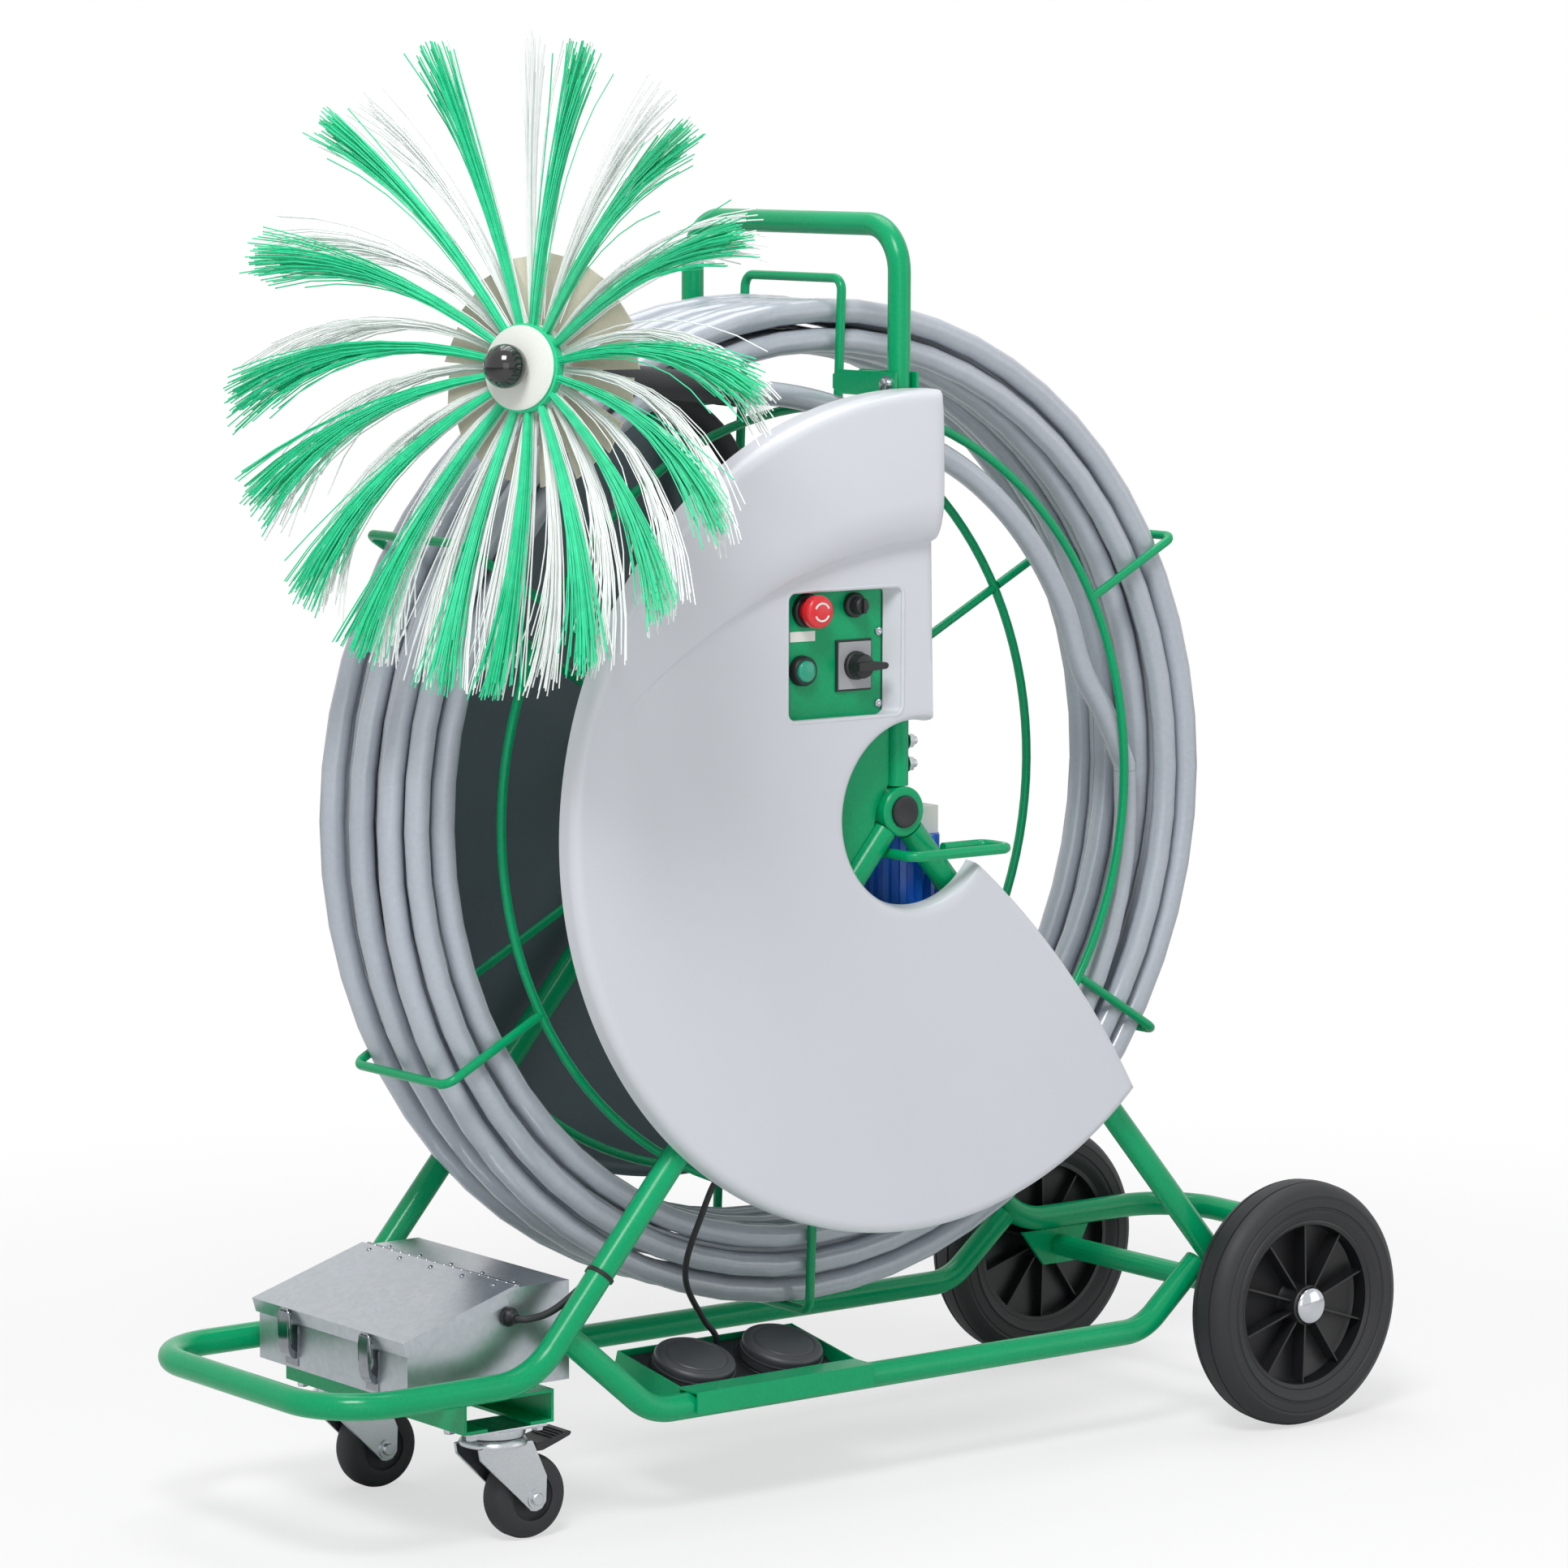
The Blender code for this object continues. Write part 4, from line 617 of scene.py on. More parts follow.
def moved(piece: bpy.types.Object, place: Matrix) -> bpy.types.Object:
    """Puts a piece's place and turn into its mesh.

    Args:
        piece: a piece modelled about the origin.
        place: where it goes in the row frame.

    Returns:
        The same piece.
    """
    piece.data.transform(place)
    piece.data.update()
    return piece


@dataclass
class Studio:
    """Floor, lamps and a camera that stands where the photograph was taken."""

    azimuth: float = math.radians(-37.489)
    elevation: float = math.radians(6.7308)
    roll: float = math.radians(0.1721)
    focal_pixels: float = 7134.13
    shift_right: float = 0.0400
    shift_up: float = -0.0147
    distance: float = 5.5865
    aim: Point = (0.0, -0.053, HUB_Z)
    lamps_aim: Point = (0.0, 0.1, 0.6)

    def build(self) -> None:
        """Makes the camera, the world, the lamps and the floor."""
        self.make_camera()
        self.make_world()
        self.make_lamps()
        self.make_floor()
        bpy.context.scene.view_settings.view_transform = "Standard"

    def make_camera(self) -> None:
        """Sets the camera by the solved viewing angle."""
        back = Vector((math.sin(self.azimuth) * math.cos(self.elevation),
                       -math.cos(self.azimuth) * math.cos(self.elevation), math.sin(self.elevation)))
        right = Vector((math.cos(self.azimuth), math.sin(self.azimuth), 0.0))
        up = back.cross(right)
        turned_right = right * math.cos(self.roll) + up * math.sin(self.roll)
        turned_up = up * math.cos(self.roll) - right * math.sin(self.roll)
        aim = at(self.aim)
        where = aim - turned_right * self.shift_right - turned_up * self.shift_up + back * self.distance
        data = bpy.data.cameras.new("photo_camera")
        data.sensor_width = SENSOR_MM
        data.sensor_fit = "HORIZONTAL"
        data.lens = self.focal_pixels / PHOTO_PIXELS * SENSOR_MM
        camera = bpy.data.objects.new("photo_camera", data)
        bpy.context.scene.collection.objects.link(camera)
        turn = Matrix((turned_right, turned_up, back)).transposed().to_4x4()
        camera.matrix_world = Matrix.Translation(where) @ turn
        bpy.context.scene.camera = camera

    def make_world(self) -> None:
        """A soft even sky: white to the camera and to reflections, calmer as a light."""
        world = bpy.data.worlds.new("studio_world")
        world.use_nodes = True
        tree = world.node_tree
        tree.nodes.clear()
        ray = add_node(tree, "ShaderNodeLightPath")
        kinds = ("Camera", "Glossy", "Transmission")
        camera, glossy, clear = (ray.outputs[f"Is {kind} Ray"] for kind in kinds)
        seen = add_node(tree, "ShaderNodeMath", {0: camera, 1: glossy}, operation="MAXIMUM")
        shown = add_node(tree, "ShaderNodeMath", {0: seen.outputs[0], 1: clear}, operation="MAXIMUM")
        light = add_node(tree, "ShaderNodeBackground", {"Color": WHITE, "Strength": 0.27})
        white = add_node(tree, "ShaderNodeBackground", {"Color": WHITE, "Strength": 1.0})
        mix = add_node(tree, "ShaderNodeMixShader",
                       {0: shown.outputs[0], 1: light.outputs[0], 2: white.outputs[0]})
        add_node(tree, "ShaderNodeOutputWorld", {"Surface": mix.outputs[0]})
        bpy.context.scene.world = world

    def make_lamps(self) -> None:
        """A high key on the left, two low fills in front and a soft top light behind."""
        spots = (("key_lamp", (-2.4, -2.2, 4.2), 1.5, 150.0), ("fill_lamp", (3.2, -3.2, 1.4), 2.6, 18.0),
                 ("front_lamp", (-2.8, -4.2, 1.4), 2.6, 20.0), ("top_lamp", (0.6, 0.8, 4.2), 2.4, 60.0))
        for name, where, size, power in spots:
            data = bpy.data.lights.new(name, "AREA")
            data.size = size
            data.energy = power
            lamp = bpy.data.objects.new(name, data)
            bpy.context.scene.collection.objects.link(lamp)
            lamp.location = where
            towards = Vector(self.lamps_aim) - Vector(where)
            lamp.rotation_euler = towards.to_track_quat("-Z", "Y").to_euler()

    def make_floor(self) -> None:
        """A pale floor that keeps the object's shadow and runs out to white."""
        Bench.clear()
        bpy.ops.mesh.primitive_plane_add(size=24.0)
        floor = bpy.context.object
        floor.name = "floor"
        made = bpy.data.materials.new("pale_floor")
        made.use_nodes = True
        tree = made.node_tree
        shader = tree.nodes["Principled BSDF"]
        shader.inputs["Base Color"].default_value = linear("#f4f4f4")
        shader.inputs["Roughness"].default_value = 0.9
        ray = add_node(tree, "ShaderNodeLightPath")
        glow = add_node(tree, "ShaderNodeEmission", {"Color": WHITE, "Strength": 1.0})
        where = add_node(tree, "ShaderNodeTexCoord").outputs["Object"]
        away = add_node(tree, "ShaderNodeVectorMath", {0: where}, operation="LENGTH")
        fade = add_node(tree, "ShaderNodeMapRange", {
            "Value": away.outputs["Value"], "From Min": 0.7, "From Max": 2.2,
            "To Min": 0.62, "To Max": 1.0}, interpolation_type="SMOOTHSTEP")
        camera = ray.outputs["Is Camera Ray"]
        share = add_node(tree, "ShaderNodeMath", {0: camera, 1: fade.outputs["Result"]}, operation="MULTIPLY")
        mix = add_node(tree, "ShaderNodeMixShader",
                       {0: share.outputs[0], 1: shader.outputs[0], 2: glow.outputs[0]})
        tree.links.new(mix.outputs[0], tree.nodes["Material Output"].inputs["Surface"])
        floor.data.materials.append(made)


@dataclass
class TubeFrame:
    """The bent tube frame, the hub, the rod hook and the bolts of the bracket on the upright."""

    mast_r: float = 0.011
    rail_y: float = 0.1515
    rail_z: float = 0.106
    loop_z: float = 0.155
    loop_reach: float = 0.640
    handle_z: float = 1.206
    boss_r: float = 0.024

    def build(self) -> None:
        """Dresses every piece of the frame."""
        self.legs()
        self.rails()
        self.upright()
        self.hook()
        self.hub()

    def legs(self) -> None:
        """The two leg loops, each one bent tube."""
        start = self.boss_r + FIT_GAP
        foot = (HUB_Z - self.loop_z) / math.tan(LEG_ANGLE)
        for name, side in (("front_leg_loop", -1), ("rear_leg_loop", 1)):
            top_x = side * start * math.cos(LEG_ANGLE)
            top_z = HUB_Z - start * math.sin(LEG_ANGLE)
            near = [(top_x, -MAST_Y, top_z), (side * foot, -MAST_Y, self.loop_z),
                    (side * self.loop_reach, -MAST_Y, self.loop_z)]
            far = [(x, -y, z) for x, y, z in reversed(near)]
            path = rounded(near + far, (0.08, 0.07, 0.07, 0.08))
            dress(Bench.tube(f"{name}_tube", [path], TUBE_R, 24), GREEN_ENAMEL, "frame", name)

    def rails(self) -> None:
        """The two base rails, bent up to the legs at both ends."""
        front_x, rear_x = -0.2795, 0.325
        for name, y in (("near_rail", -self.rail_y), ("far_rail", self.rail_y)):
            ends = []
            for x, side in ((front_x, -1), (rear_x, 1)):
                to_axis = (HUB_Z - self.rail_z) * math.cos(LEG_ANGLE) - abs(x) * math.sin(LEG_ANGLE)
                to_leg = to_axis - TUBE_R - FIT_GAP
                end_x = x + side * math.sin(LEG_ANGLE) * to_leg
                ends.append((end_x, y, self.rail_z + math.cos(LEG_ANGLE) * to_leg))
            route = rounded([ends[0], (front_x, y, self.rail_z), (rear_x, y, self.rail_z), ends[1]],
                            (0.06, 0.06))
            dress(Bench.tube(f"{name}_tube", [route], TUBE_R, 24), GREEN_ENAMEL, "frame", name)

    def upright(self) -> None:
        """The handle's one bent tube."""
        foot = HUB_Z + self.boss_r + FIT_GAP
        corners = [(0, -MAST_Y, foot), (0, -MAST_Y, self.handle_z),
                   (0, MAST_Y, self.handle_z), (0, MAST_Y, foot)]
        route = rounded(corners, (0.045, 0.045))
        dress(Bench.tube("handle_tube", [route], self.mast_r, 24), GREEN_ENAMEL, "frame", "handle_mast")

    def hook(self) -> None:
        """The rod hook beside the hub."""
        rod, drop, tip_x, out_y = 0.005, 0.040, 0.108, -0.203
        z = HUB_Z - drop
        leg_x = drop / math.tan(LEG_ANGLE)
        arm_x = -leg_x + (TUBE_R + rod + FIT_GAP) / math.sin(LEG_ANGLE)
        side_x = leg_x + (TUBE_R + FIT_GAP) / math.sin(LEG_ANGLE) + 0.006
        corners = [(arm_x, -0.150, z), (arm_x, out_y, z), (tip_x, out_y, z),
                   (tip_x, -MAST_Y, z), (side_x, -MAST_Y, z)]
        route = rounded(corners, (0.012, 0.012, 0.012), 8)
        dress(Bench.tube("hook_rod", [route], rod, 16), GREEN_ENAMEL, "frame", "cable_hook")

    def hub(self) -> None:
        """The hub bosses, the black plug and the bolts of the bracket on the upright."""
        inner, half, edge = 0.0153, 0.012, 0.0015
        bolt_x, bolt_rise = 0.0143, 0.4045
        for name, y in (("near_hub_boss", -MAST_Y), ("far_hub_boss", MAST_Y)):
            side = [(inner, -half), (self.boss_r - edge, -half), (self.boss_r, edge - half)]
            ring = side + [(radius, -height) for radius, height in reversed(side)]
            dress(Bench.lathe(f"{name}_ring", ring, at((0, y, HUB_Z))), GREEN_ENAMEL, "frame", name)
        plug = ((0, -0.0022), (0.009, -0.0024), (0.0125, -0.0030), (0.0148, -0.0026),
                (0.0155, -0.0012), (0.0155, 0), (0, 0))
        dress(Bench.lathe("hub_plug_cap", plug, at((0, -MAST_Y - half - FIT_GAP, HUB_Z))),
              BLACK_PP, "frame", "near_hub_plug")
        for name, side in (("front", -1), ("rear", 1)):
            base = at((side * bolt_x, -MAST_Y, HUB_Z + bolt_rise))
            head = [(0, 0), (0.0085, 0), (0.0085, side * 0.0012), (0.0058, side * 0.0014),
                    (0.0058, side * 0.0052), (0.0045, side * 0.0060), (0, side * 0.0060)]
            dress(Bench.lathe(f"bracket_bolt_{name}", head, base, Axis.X, 24), BRIGHT_ZINC, "frame")


@dataclass
class Reel:
    """The rod basket and the spider, the hose wound on them and the coupling hose inside.

    Angles along the winding are in degrees: it starts at wind_start, changes column first at first_turn and
    then after every column_sweep, and dips to end_r over the last wind_dip.
    """

    ring_r: float = 0.380
    rod_r: float = 0.0045
    near_y: float = -0.053
    far_y: float = 0.100
    retainer_r: float = 0.501
    coupling_r: float = 0.0125
    spokes: int = 6
    first_spoke: float = 28.0
    columns: int = 6
    inner_r: float = 0.424
    end_r: float = 0.3955
    turn_gap: float = 0.00052
    retainer_gap: float = 0.0006
    wind_start: int = 150
    wind_end: int = 4680
    wind_dip: int = 45
    first_turn: int = 990
    column_sweep: int = 720
    loop_points: int = 60

    def build(self) -> None:
        """Dresses the reel and winds the hose."""
        self.basket()
        self.spider()
        self.wound_hose()
        self.coupling()

    def ring(self, name: str, y: float) -> bpy.types.Object:
        """One closed rod ring.

        Args:
            name: the piece's name.
            y: its place along the axle in machine coordinates.

        Returns:
            The new piece.
        """
        steps = 120
        path = [polar(self.ring_r, 360 / steps * index, y) for index in range(steps)]
        return Bench.tube(name, [path], self.rod_r, 14, closed=True)

    def spoke_angles(self) -> list[float]:
        """The angles at which the spokes and the retainers stand.

        Returns:
            Degrees from +X towards +Z.
        """
        return [self.first_spoke + 360 / self.spokes * index for index in range(self.spokes)]

    def basket(self) -> None:
        """The near ring with its bent retainers."""
        hoops = []
        foot_r = self.ring_r + self.rod_r + FIT_GAP
        for degrees in self.spoke_angles():
            corners = [polar(self.ring_r, degrees, self.near_y), polar(self.retainer_r, degrees, self.near_y),
                       polar(self.retainer_r, degrees, self.far_y), polar(foot_r, degrees, self.far_y)]
            hoops.append(rounded([c - Vector((0, FRAME_SHIFT_Y, 0)) for c in corners], (0.012, 0.012), 8))
        rods = Bench.tube("retainer_rods", hoops, self.rod_r, 14)
        basket = Bench.join("reel_basket", [self.ring("near_rod_ring", self.near_y), rods])
        dress(basket, GREEN_ENAMEL, "reel", "near_ring")

    def spider(self) -> None:
        """The far ring, its spokes and the sleeve on the axle."""
        root_r = 0.030
        spokes = [[polar(root_r, degrees, self.far_y), polar(self.ring_r, degrees, self.far_y)]
                  for degrees in self.spoke_angles()]
        rods = Bench.tube("spoke_rods", spokes, self.rod_r, 14)
        sleeve = ((0.0153, -0.145), (0.0232, -0.145), (0.024, -0.144), (0.024, 0.0955), (0.033, 0.0955),
                  (0.034, 0.0965), (0.034, 0.111), (0.033, 0.112), (0.0153, 0.112))
        turned = Bench.lathe("spider_sleeve", sleeve, at((0, 0, HUB_Z)))
        spider = Bench.join("reel_spokes", [self.ring("far_rod_ring", self.far_y), rods, turned])
        dress(spider, GREEN_ENAMEL, "reel", "reel_spider")

    def hose_path(self) -> list[Vector]:
        """Columns of turns that spiral out and in, and step to the next column as they reverse.

        Returns:
            The wound hose's centre line in the row frame.
        """
        pitch = 2 * HOSE_R + self.turn_gap
        near = self.near_y + self.rod_r + self.turn_gap + HOSE_R
        rows = [near + pitch * (self.columns - 1 - index) for index in range(self.columns)]
        outer = self.retainer_r - self.rod_r - self.retainer_gap - HOSE_R
        turns = [self.first_turn + self.column_sweep * index for index in range(self.columns - 1)]
        knots = [self.wind_start, *turns, self.wind_end - self.wind_dip, self.wind_end]
        levels = [self.inner_r if index % 2 == 0 else outer for index in range(self.columns + 1)]
        radii = [*levels, self.end_r]
        path = []
        step = 360 / self.loop_points
        for index in range(int((self.wind_end - self.wind_start) / step) + 1):
            degrees = self.wind_start + index * step
            span = max(k for k in range(len(knots) - 1) if knots[k] <= degrees or k == 0)
            share = (degrees - knots[span]) / (knots[span + 1] - knots[span])
            radius = radii[span] + (radii[span + 1] - radii[span]) * share
            y = rows[0]
            for turn, row, after in zip(turns, rows, rows[1:]):
                y += (after - row) * ease((degrees - turn) / 180 + 0.5)
            path.append(polar(radius, degrees, y))
        return path

    def wound_hose(self) -> None:
        """The hose on the reel, one unbroken length."""
        path = self.hose_path()
        piece = Bench.curve("wound_hose", [path], HOSE_R, 14)
        dress(piece, HOSE_SHEATH, "reel", "hose_coil")

    def coupling(self) -> None:
        """The black hose that joins the wound hose's inner end to the sleeve."""
        far = 0.0817
        path = self.hose_path()
        back = (path[0] - path[1]).normalized()
        first = polar(self.inner_r - 0.002, self.wind_start, far) + back * 2 * FIT_GAP
        route = [first + back * 0.006, polar(0.4188, 145, far), polar(0.413, 135, far - 0.001),
                 polar(0.406, 120, far - 0.010), at((-0.106, 0.057, HUB_Z + 0.382)),
                 at((-0.055, 0.057, HUB_Z + 0.352)), at((-0.021, 0.057, HUB_Z + 0.305)),
                 at((-0.004, 0.055, HUB_Z + 0.200)), at((0, 0.050, HUB_Z + 0.090)),
                 at((0, 0.050, HUB_Z + 0.036)), at((0, 0.050, HUB_Z + 0.0243))]
        points = [first, *smooth(route, 60)]
        piece = Bench.curve("coupling_hose_skin", [points], self.coupling_r, 16)
        dress(piece, TYRE_RUBBER, "reel", "coupling_hose")


@dataclass(frozen=True)
class Tufts:
    """A ring of filament bundles.

    middle is its place along the axle, phase its first bundle's place as a share of the spacing, lean its
    forward lean in degrees, droop how far a level bundle's tip sags in radians, and strands the filaments in
    one bundle.
    """

    middle: float
    phase: float
    lean: float
    droop: float
    strands: int


@dataclass
class Brush:
    """The rotary brush, and the free hose and sleeve that carry it.

    free_route leads the free hose as (degrees, radius, y) from the axle, y in machine coordinates.
    """

    centre: Point = (-0.430, -0.178, 1.082)
    axis: Point = (-0.942, -0.320, 0.101)
    tip_r: float = 0.300
    root_r: float = 0.0385
    tufts: int = 16
    strand_r: float = 0.00062
    sleeve_back: float = 0.3313
    sleeve_length: float = 0.235
    ball_r: float = 0.020
    nose: float = 0.026
    points: int = 8
    free_route: tuple[Point, ...] = (
        (9, 0.372, -0.0375), (17, 0.350, -0.042), (30, 0.345, -0.052), (45, 0.345, -0.060),
        (60, 0.349, -0.066), (75, 0.357, -0.069), (89, 0.376, -0.069), (97, 0.392, -0.070),
        (104, 0.4075, -0.0715))

    def build(self, coil: Sequence[Vector]) -> None:
        """Dresses the brush and leads the free hose from the end of the wound one.

        Args:
            coil: the wound hose's centre line.
        """
        self.free_hose(coil)
        self.sleeve()
        self.hub()
        self.bristles("green_filaments", GREEN_FILAMENT, "brush_green_tufts",
                      (Tufts(0.0145, 0.0, 12.0, 0.29, 72),))
        self.bristles("white_filaments", WHITE_FILAMENT, "brush_white_tufts",
                      (Tufts(0.0045, 0.5, 9.0, 0.50, 36), Tufts(0.0065, 0.0, 11.0, 0.31, 12)))

    def place(self, back: float = 0.0) -> Matrix:
        """The brush's own frame, Z along its axle.

        Args:
            back: how far behind the brush's middle the frame sits.

        Returns:
            The frame in the row frame.
        """
        along = Vector(self.axis).normalized()
        turn = along.to_track_quat("Z", "Y").to_matrix().to_4x4()
        return Matrix.Translation(at(self.centre) - along * back) @ turn

    def free_hose(self, coil: Sequence[Vector]) -> None:
        """The grey hose from the wound end, inside the near ring and up to the sleeve.

        Args:
            coil: the wound hose's centre line.
        """
        ahead = (coil[-1] - coil[-2]).normalized()
        start = coil[-1] + ahead * FIT_GAP
        towards = Vector(self.axis).normalized()
        end = at(self.centre) - towards * self.sleeve_back
        straight = 0.006
        between = [polar(radius, degrees, y) for degrees, radius, y in self.free_route]
        route = [start + ahead * straight, *between, end - towards * straight]
        path = [start, *smooth(route, 70), end]
        piece = Bench.curve("free_hose", [path], HOSE_R, 14)
        dress(piece, HOSE_SHEATH, "frame", "hose_free_end")

    def sleeve(self) -> None:
        """The black sleeve on the hose's end, with a ferrule groove and a tapered nose."""
        ring = ((0, 0), (0.0137, 0), (0.0145, 0.0008), (0.0145, 0.026), (0.0138, 0.0266), (0.0138, 0.0284),
                (0.0145, 0.029), (0.0145, 0.036), (0.0138, 0.0366), (0.0138, 0.0384), (0.0142, 0.039),
                (0.0142, self.sleeve_length - 0.010), (0.0105, self.sleeve_length), (0, self.sleeve_length))
        piece = Bench.lathe("hose_sleeve", ring, Vector(), Axis.Z, 40)
        dress(moved(piece, self.place(self.sleeve_back - FIT_GAP)), TYRE_RUBBER, "frame", "hose_end_sleeve")

    def hub(self) -> None:
        """The nylon hub with its disc, and the glossy ball on its nose."""
        tail = -(self.sleeve_back - self.sleeve_length) + FIT_GAP
        core = ((0, tail), (0.009, tail), (0.009, -0.016), (0.0345, -0.016), (0.036, -0.0145), (0.036, 0.020),
                (0.0375, 0.0202), (0.038, 0.0210), (0.038, 0.0222), (0.0365, 0.0235), (0.018, 0.0255),
                (0.016, self.nose), (0, self.nose))
        dress(moved(Bench.lathe("brush_hub", core, Vector(), Axis.Z, 72), self.place()),
              NYLON, "brush", "brush_core")
        flat, steps = 0.6, 24
        seat = self.nose + FIT_GAP + self.ball_r * math.cos(flat)
        turns = [-math.pi / 2 + flat + (math.pi - flat) * index / steps for index in range(steps + 1)]
        skin = [(self.ball_r * math.cos(a), seat + self.ball_r * math.sin(a)) for a in turns[:-1]]
        ball = [(0.0, skin[0][1]), *skin, (0.0, seat + self.ball_r)]
        piece = moved(Bench.lathe("nose_ball", ball, Vector(), Axis.Z, 48), self.place())
        dress(piece, BLACK_PHENOLIC, "brush", "brush_nose")

    def bristles(self, name: str, finish: Finish, node: str, rings: Sequence[Tufts]) -> None:
        """Bundles of thin filaments that leave the hub straight, spread at their tips and sag.

        Args:
            name: the piece's name.
            finish: the filament's finish.
            node: the CAD node that the bundles stand for.
            rings: the rings of bundles, the first of them on its own backing band.
        """
        scatter = random.Random(rings[0].strands)
        place = self.place()
        paths = [path for ring in rings for path in self.filaments(ring, place, scatter)]
        inner_r, outer_r, half = 0.0363, 0.040, 0.0044
        low, high = rings[0].middle - half, rings[0].middle + half
        backing = ((inner_r, low), (outer_r, low), (outer_r, high), (inner_r, high))
        band = moved(Bench.lathe(f"{name}_ring", backing, Vector(), Axis.Z, 64), place)
        hairs = Bench.tube(f"{name}_hairs", paths, self.strand_r, 4)
        dress(Bench.join(name, [hairs, band]), finish, "brush", node)

    def filaments(self, ring: Tufts, place: Matrix, scatter: random.Random) -> list[list[Vector]]:
        """The centre lines of one ring's filaments.

        Args:
            ring: the ring of bundles.
            place: the brush's own frame.
            scatter: the repeatable scatter.

        Returns:
            One path for each filament, in the row frame.
        """
        limit, bunch, wander, short, ragged = 2.2, 0.85, 0.03, 0.002, 0.024
        tip_fan, tip_play, root_fan, rise_fan, half_band = 1.2, 1.9, 1.9, 1.1, 0.0034
        sag = place.to_3x3().inverted() @ Vector((0, 0, -1))
        down = math.atan2(sag.y, sag.x)
        paths = []
        for tuft in range(self.tufts):
            middle_angle = 2 * math.pi * (tuft + ring.phase + 0.5) / self.tufts
            stray = scatter.gauss(0, wander)
            for _ in range(ring.strands):
                across = max(-limit, min(limit, scatter.gauss(0, bunch)))
                rise = scatter.uniform(-1, 1)
                flare = math.radians(across * (tip_fan + tip_play * scatter.random()))
                tip = self.tip_r - short - abs(scatter.gauss(0, ragged))
                pull = ring.droop * math.sin(down - middle_angle) * scatter.uniform(0.85, 1.15)
                path = []
                for step in range(self.points):
                    share = step / (self.points - 1)
                    radius = self.root_r + (tip - self.root_r) * share
                    turn = math.radians(across * root_fan) * (1 - share) ** 2 + flare * share ** 1.7
                    angle = middle_angle + turn + stray * share + pull * share ** 1.5
                    out = (radius - self.root_r) * math.tan(math.radians(ring.lean + rise * rise_fan))
                    height = ring.middle + rise * half_band + out
                    path.append(place @ Vector((radius * math.cos(angle), radius * math.sin(angle), height)))
                paths.append(path)
        return paths


@dataclass
class RearWheels:
    """Two wheels: a ribbed black rim, a rubber tyre with moulded sidewalls and a chrome cap."""

    axle_x: float = 0.481
    wheel_r: float = 0.124
    wheel_y: float = 0.205
    half: float = 0.025
    cap_r: float = 0.0188
    spokes: int = 10

    def build(self) -> None:
        """Dresses both wheels."""
        for side, sign in (("near", -1), ("far", 1)):
            turn = Matrix.Rotation(math.pi if sign > 0 else 0.0, 4, "Z")
            place = Matrix.Translation(at((self.axle_x, sign * self.wheel_y, self.wheel_r))) @ turn
            self.tyre(side, place)
            self.rim(side, place)
            self.cap(side, place)

    def tyre(self, side: str, place: Matrix) -> None:
        """The tyre, with two moulded steps in its sidewall and two grooves in its tread.

        Args:
            side: near or far.
            place: the wheel's frame, outer face towards -Y.
        """
        outer = [(0.0863, -0.0200), (0.0905, -0.0222), (0.0940, -0.0248), (0.0962, -0.0250),
                 (0.0972, -0.0238), (0.0990, -0.0238), (0.1000, -0.0250), (0.1075, -0.0249),
                 (0.1085, -0.0240), (0.1100, -0.0240), (0.1110, -0.0244), (0.1160, -0.0222),
                 (0.1200, -0.0182), (0.1224, -0.0135), (0.1232, -0.0110), (0.1216, -0.0104),
                 (0.1216, -0.0092), (0.1234, -0.0086), (0.1240, -0.0030)]
        profile = outer + [(radius, -y) for radius, y in reversed(outer)]
        piece = moved(Bench.lathe(f"{side}_wheel_tyre", profile, Vector(), Axis.Y, 96), place)
        dress(piece, TYRE_RUBBER, f"{side}_wheel", f"{side}_tyre")

    def rim(self, side: str, place: Matrix) -> None:
        """The rim's dish with thin radial ribs on both faces.

        Args:
            side: near or far.
            place: the wheel's frame.
        """
        dish = ((0.0103, -0.023), (0.0185, -0.023), (0.020, -0.0215), (0.0205, -0.004), (0.023, 0.0005),
                (0.076, 0.001), (0.080, -0.002), (0.081, -0.0178), (0.0825, -0.0190), (0.0845, -0.0203),
                (0.0860, -0.0200), (0.0860, 0.0200), (0.081, 0.020), (0.081, 0.006), (0.020, 0.006),
                (0.020, 0.023), (0.0103, 0.023))
        parts = [Bench.lathe(f"{side}_wheel_dish", dish, Vector(), Axis.Y, 80)]
        rib = ((0.0185, -0.0172), (0.0815, -0.0150), (0.0815, 0.0165), (0.0185, 0.0185))
        half = 0.0011
        for index in range(self.spokes):
            blade = Bench.pulled(f"{side}_rib_{index}", rib, -half, half, Axis.Z, bevel=0.0004)
            parts.append(moved(blade, Matrix.Rotation(2 * math.pi * (index + 0.5) / self.spokes, 4, "Y")))
        joined = Bench.join(f"{side}_wheel_rim", parts)
        dress(moved(joined, place), BLACK_PP, f"{side}_wheel", f"{side}_rim")

    def cap(self, side: str, place: Matrix) -> None:
        """The pressed chrome cap on the axle's end.

        Args:
            side: near or far.
            place: the wheel's frame.
        """
        face = -self.half + 0.002 - FIT_GAP
        rim, rise, steps = 0.0012, 0.0078, 10
        turns = [math.pi / 2 * index / steps for index in range(steps)]
        dome = [(self.cap_r * math.cos(a), face - rim - rise * math.sin(a)) for a in turns]
        profile = [(0.0, face), (self.cap_r, face), *dome, (0.0, face - rim - rise)]
        piece = moved(Bench.lathe(f"{side}_axle_cap", profile, Vector(), Axis.Y, 48), place)
        dress(piece, CHROME, f"{side}_wheel", f"{side}_wheel_cap")


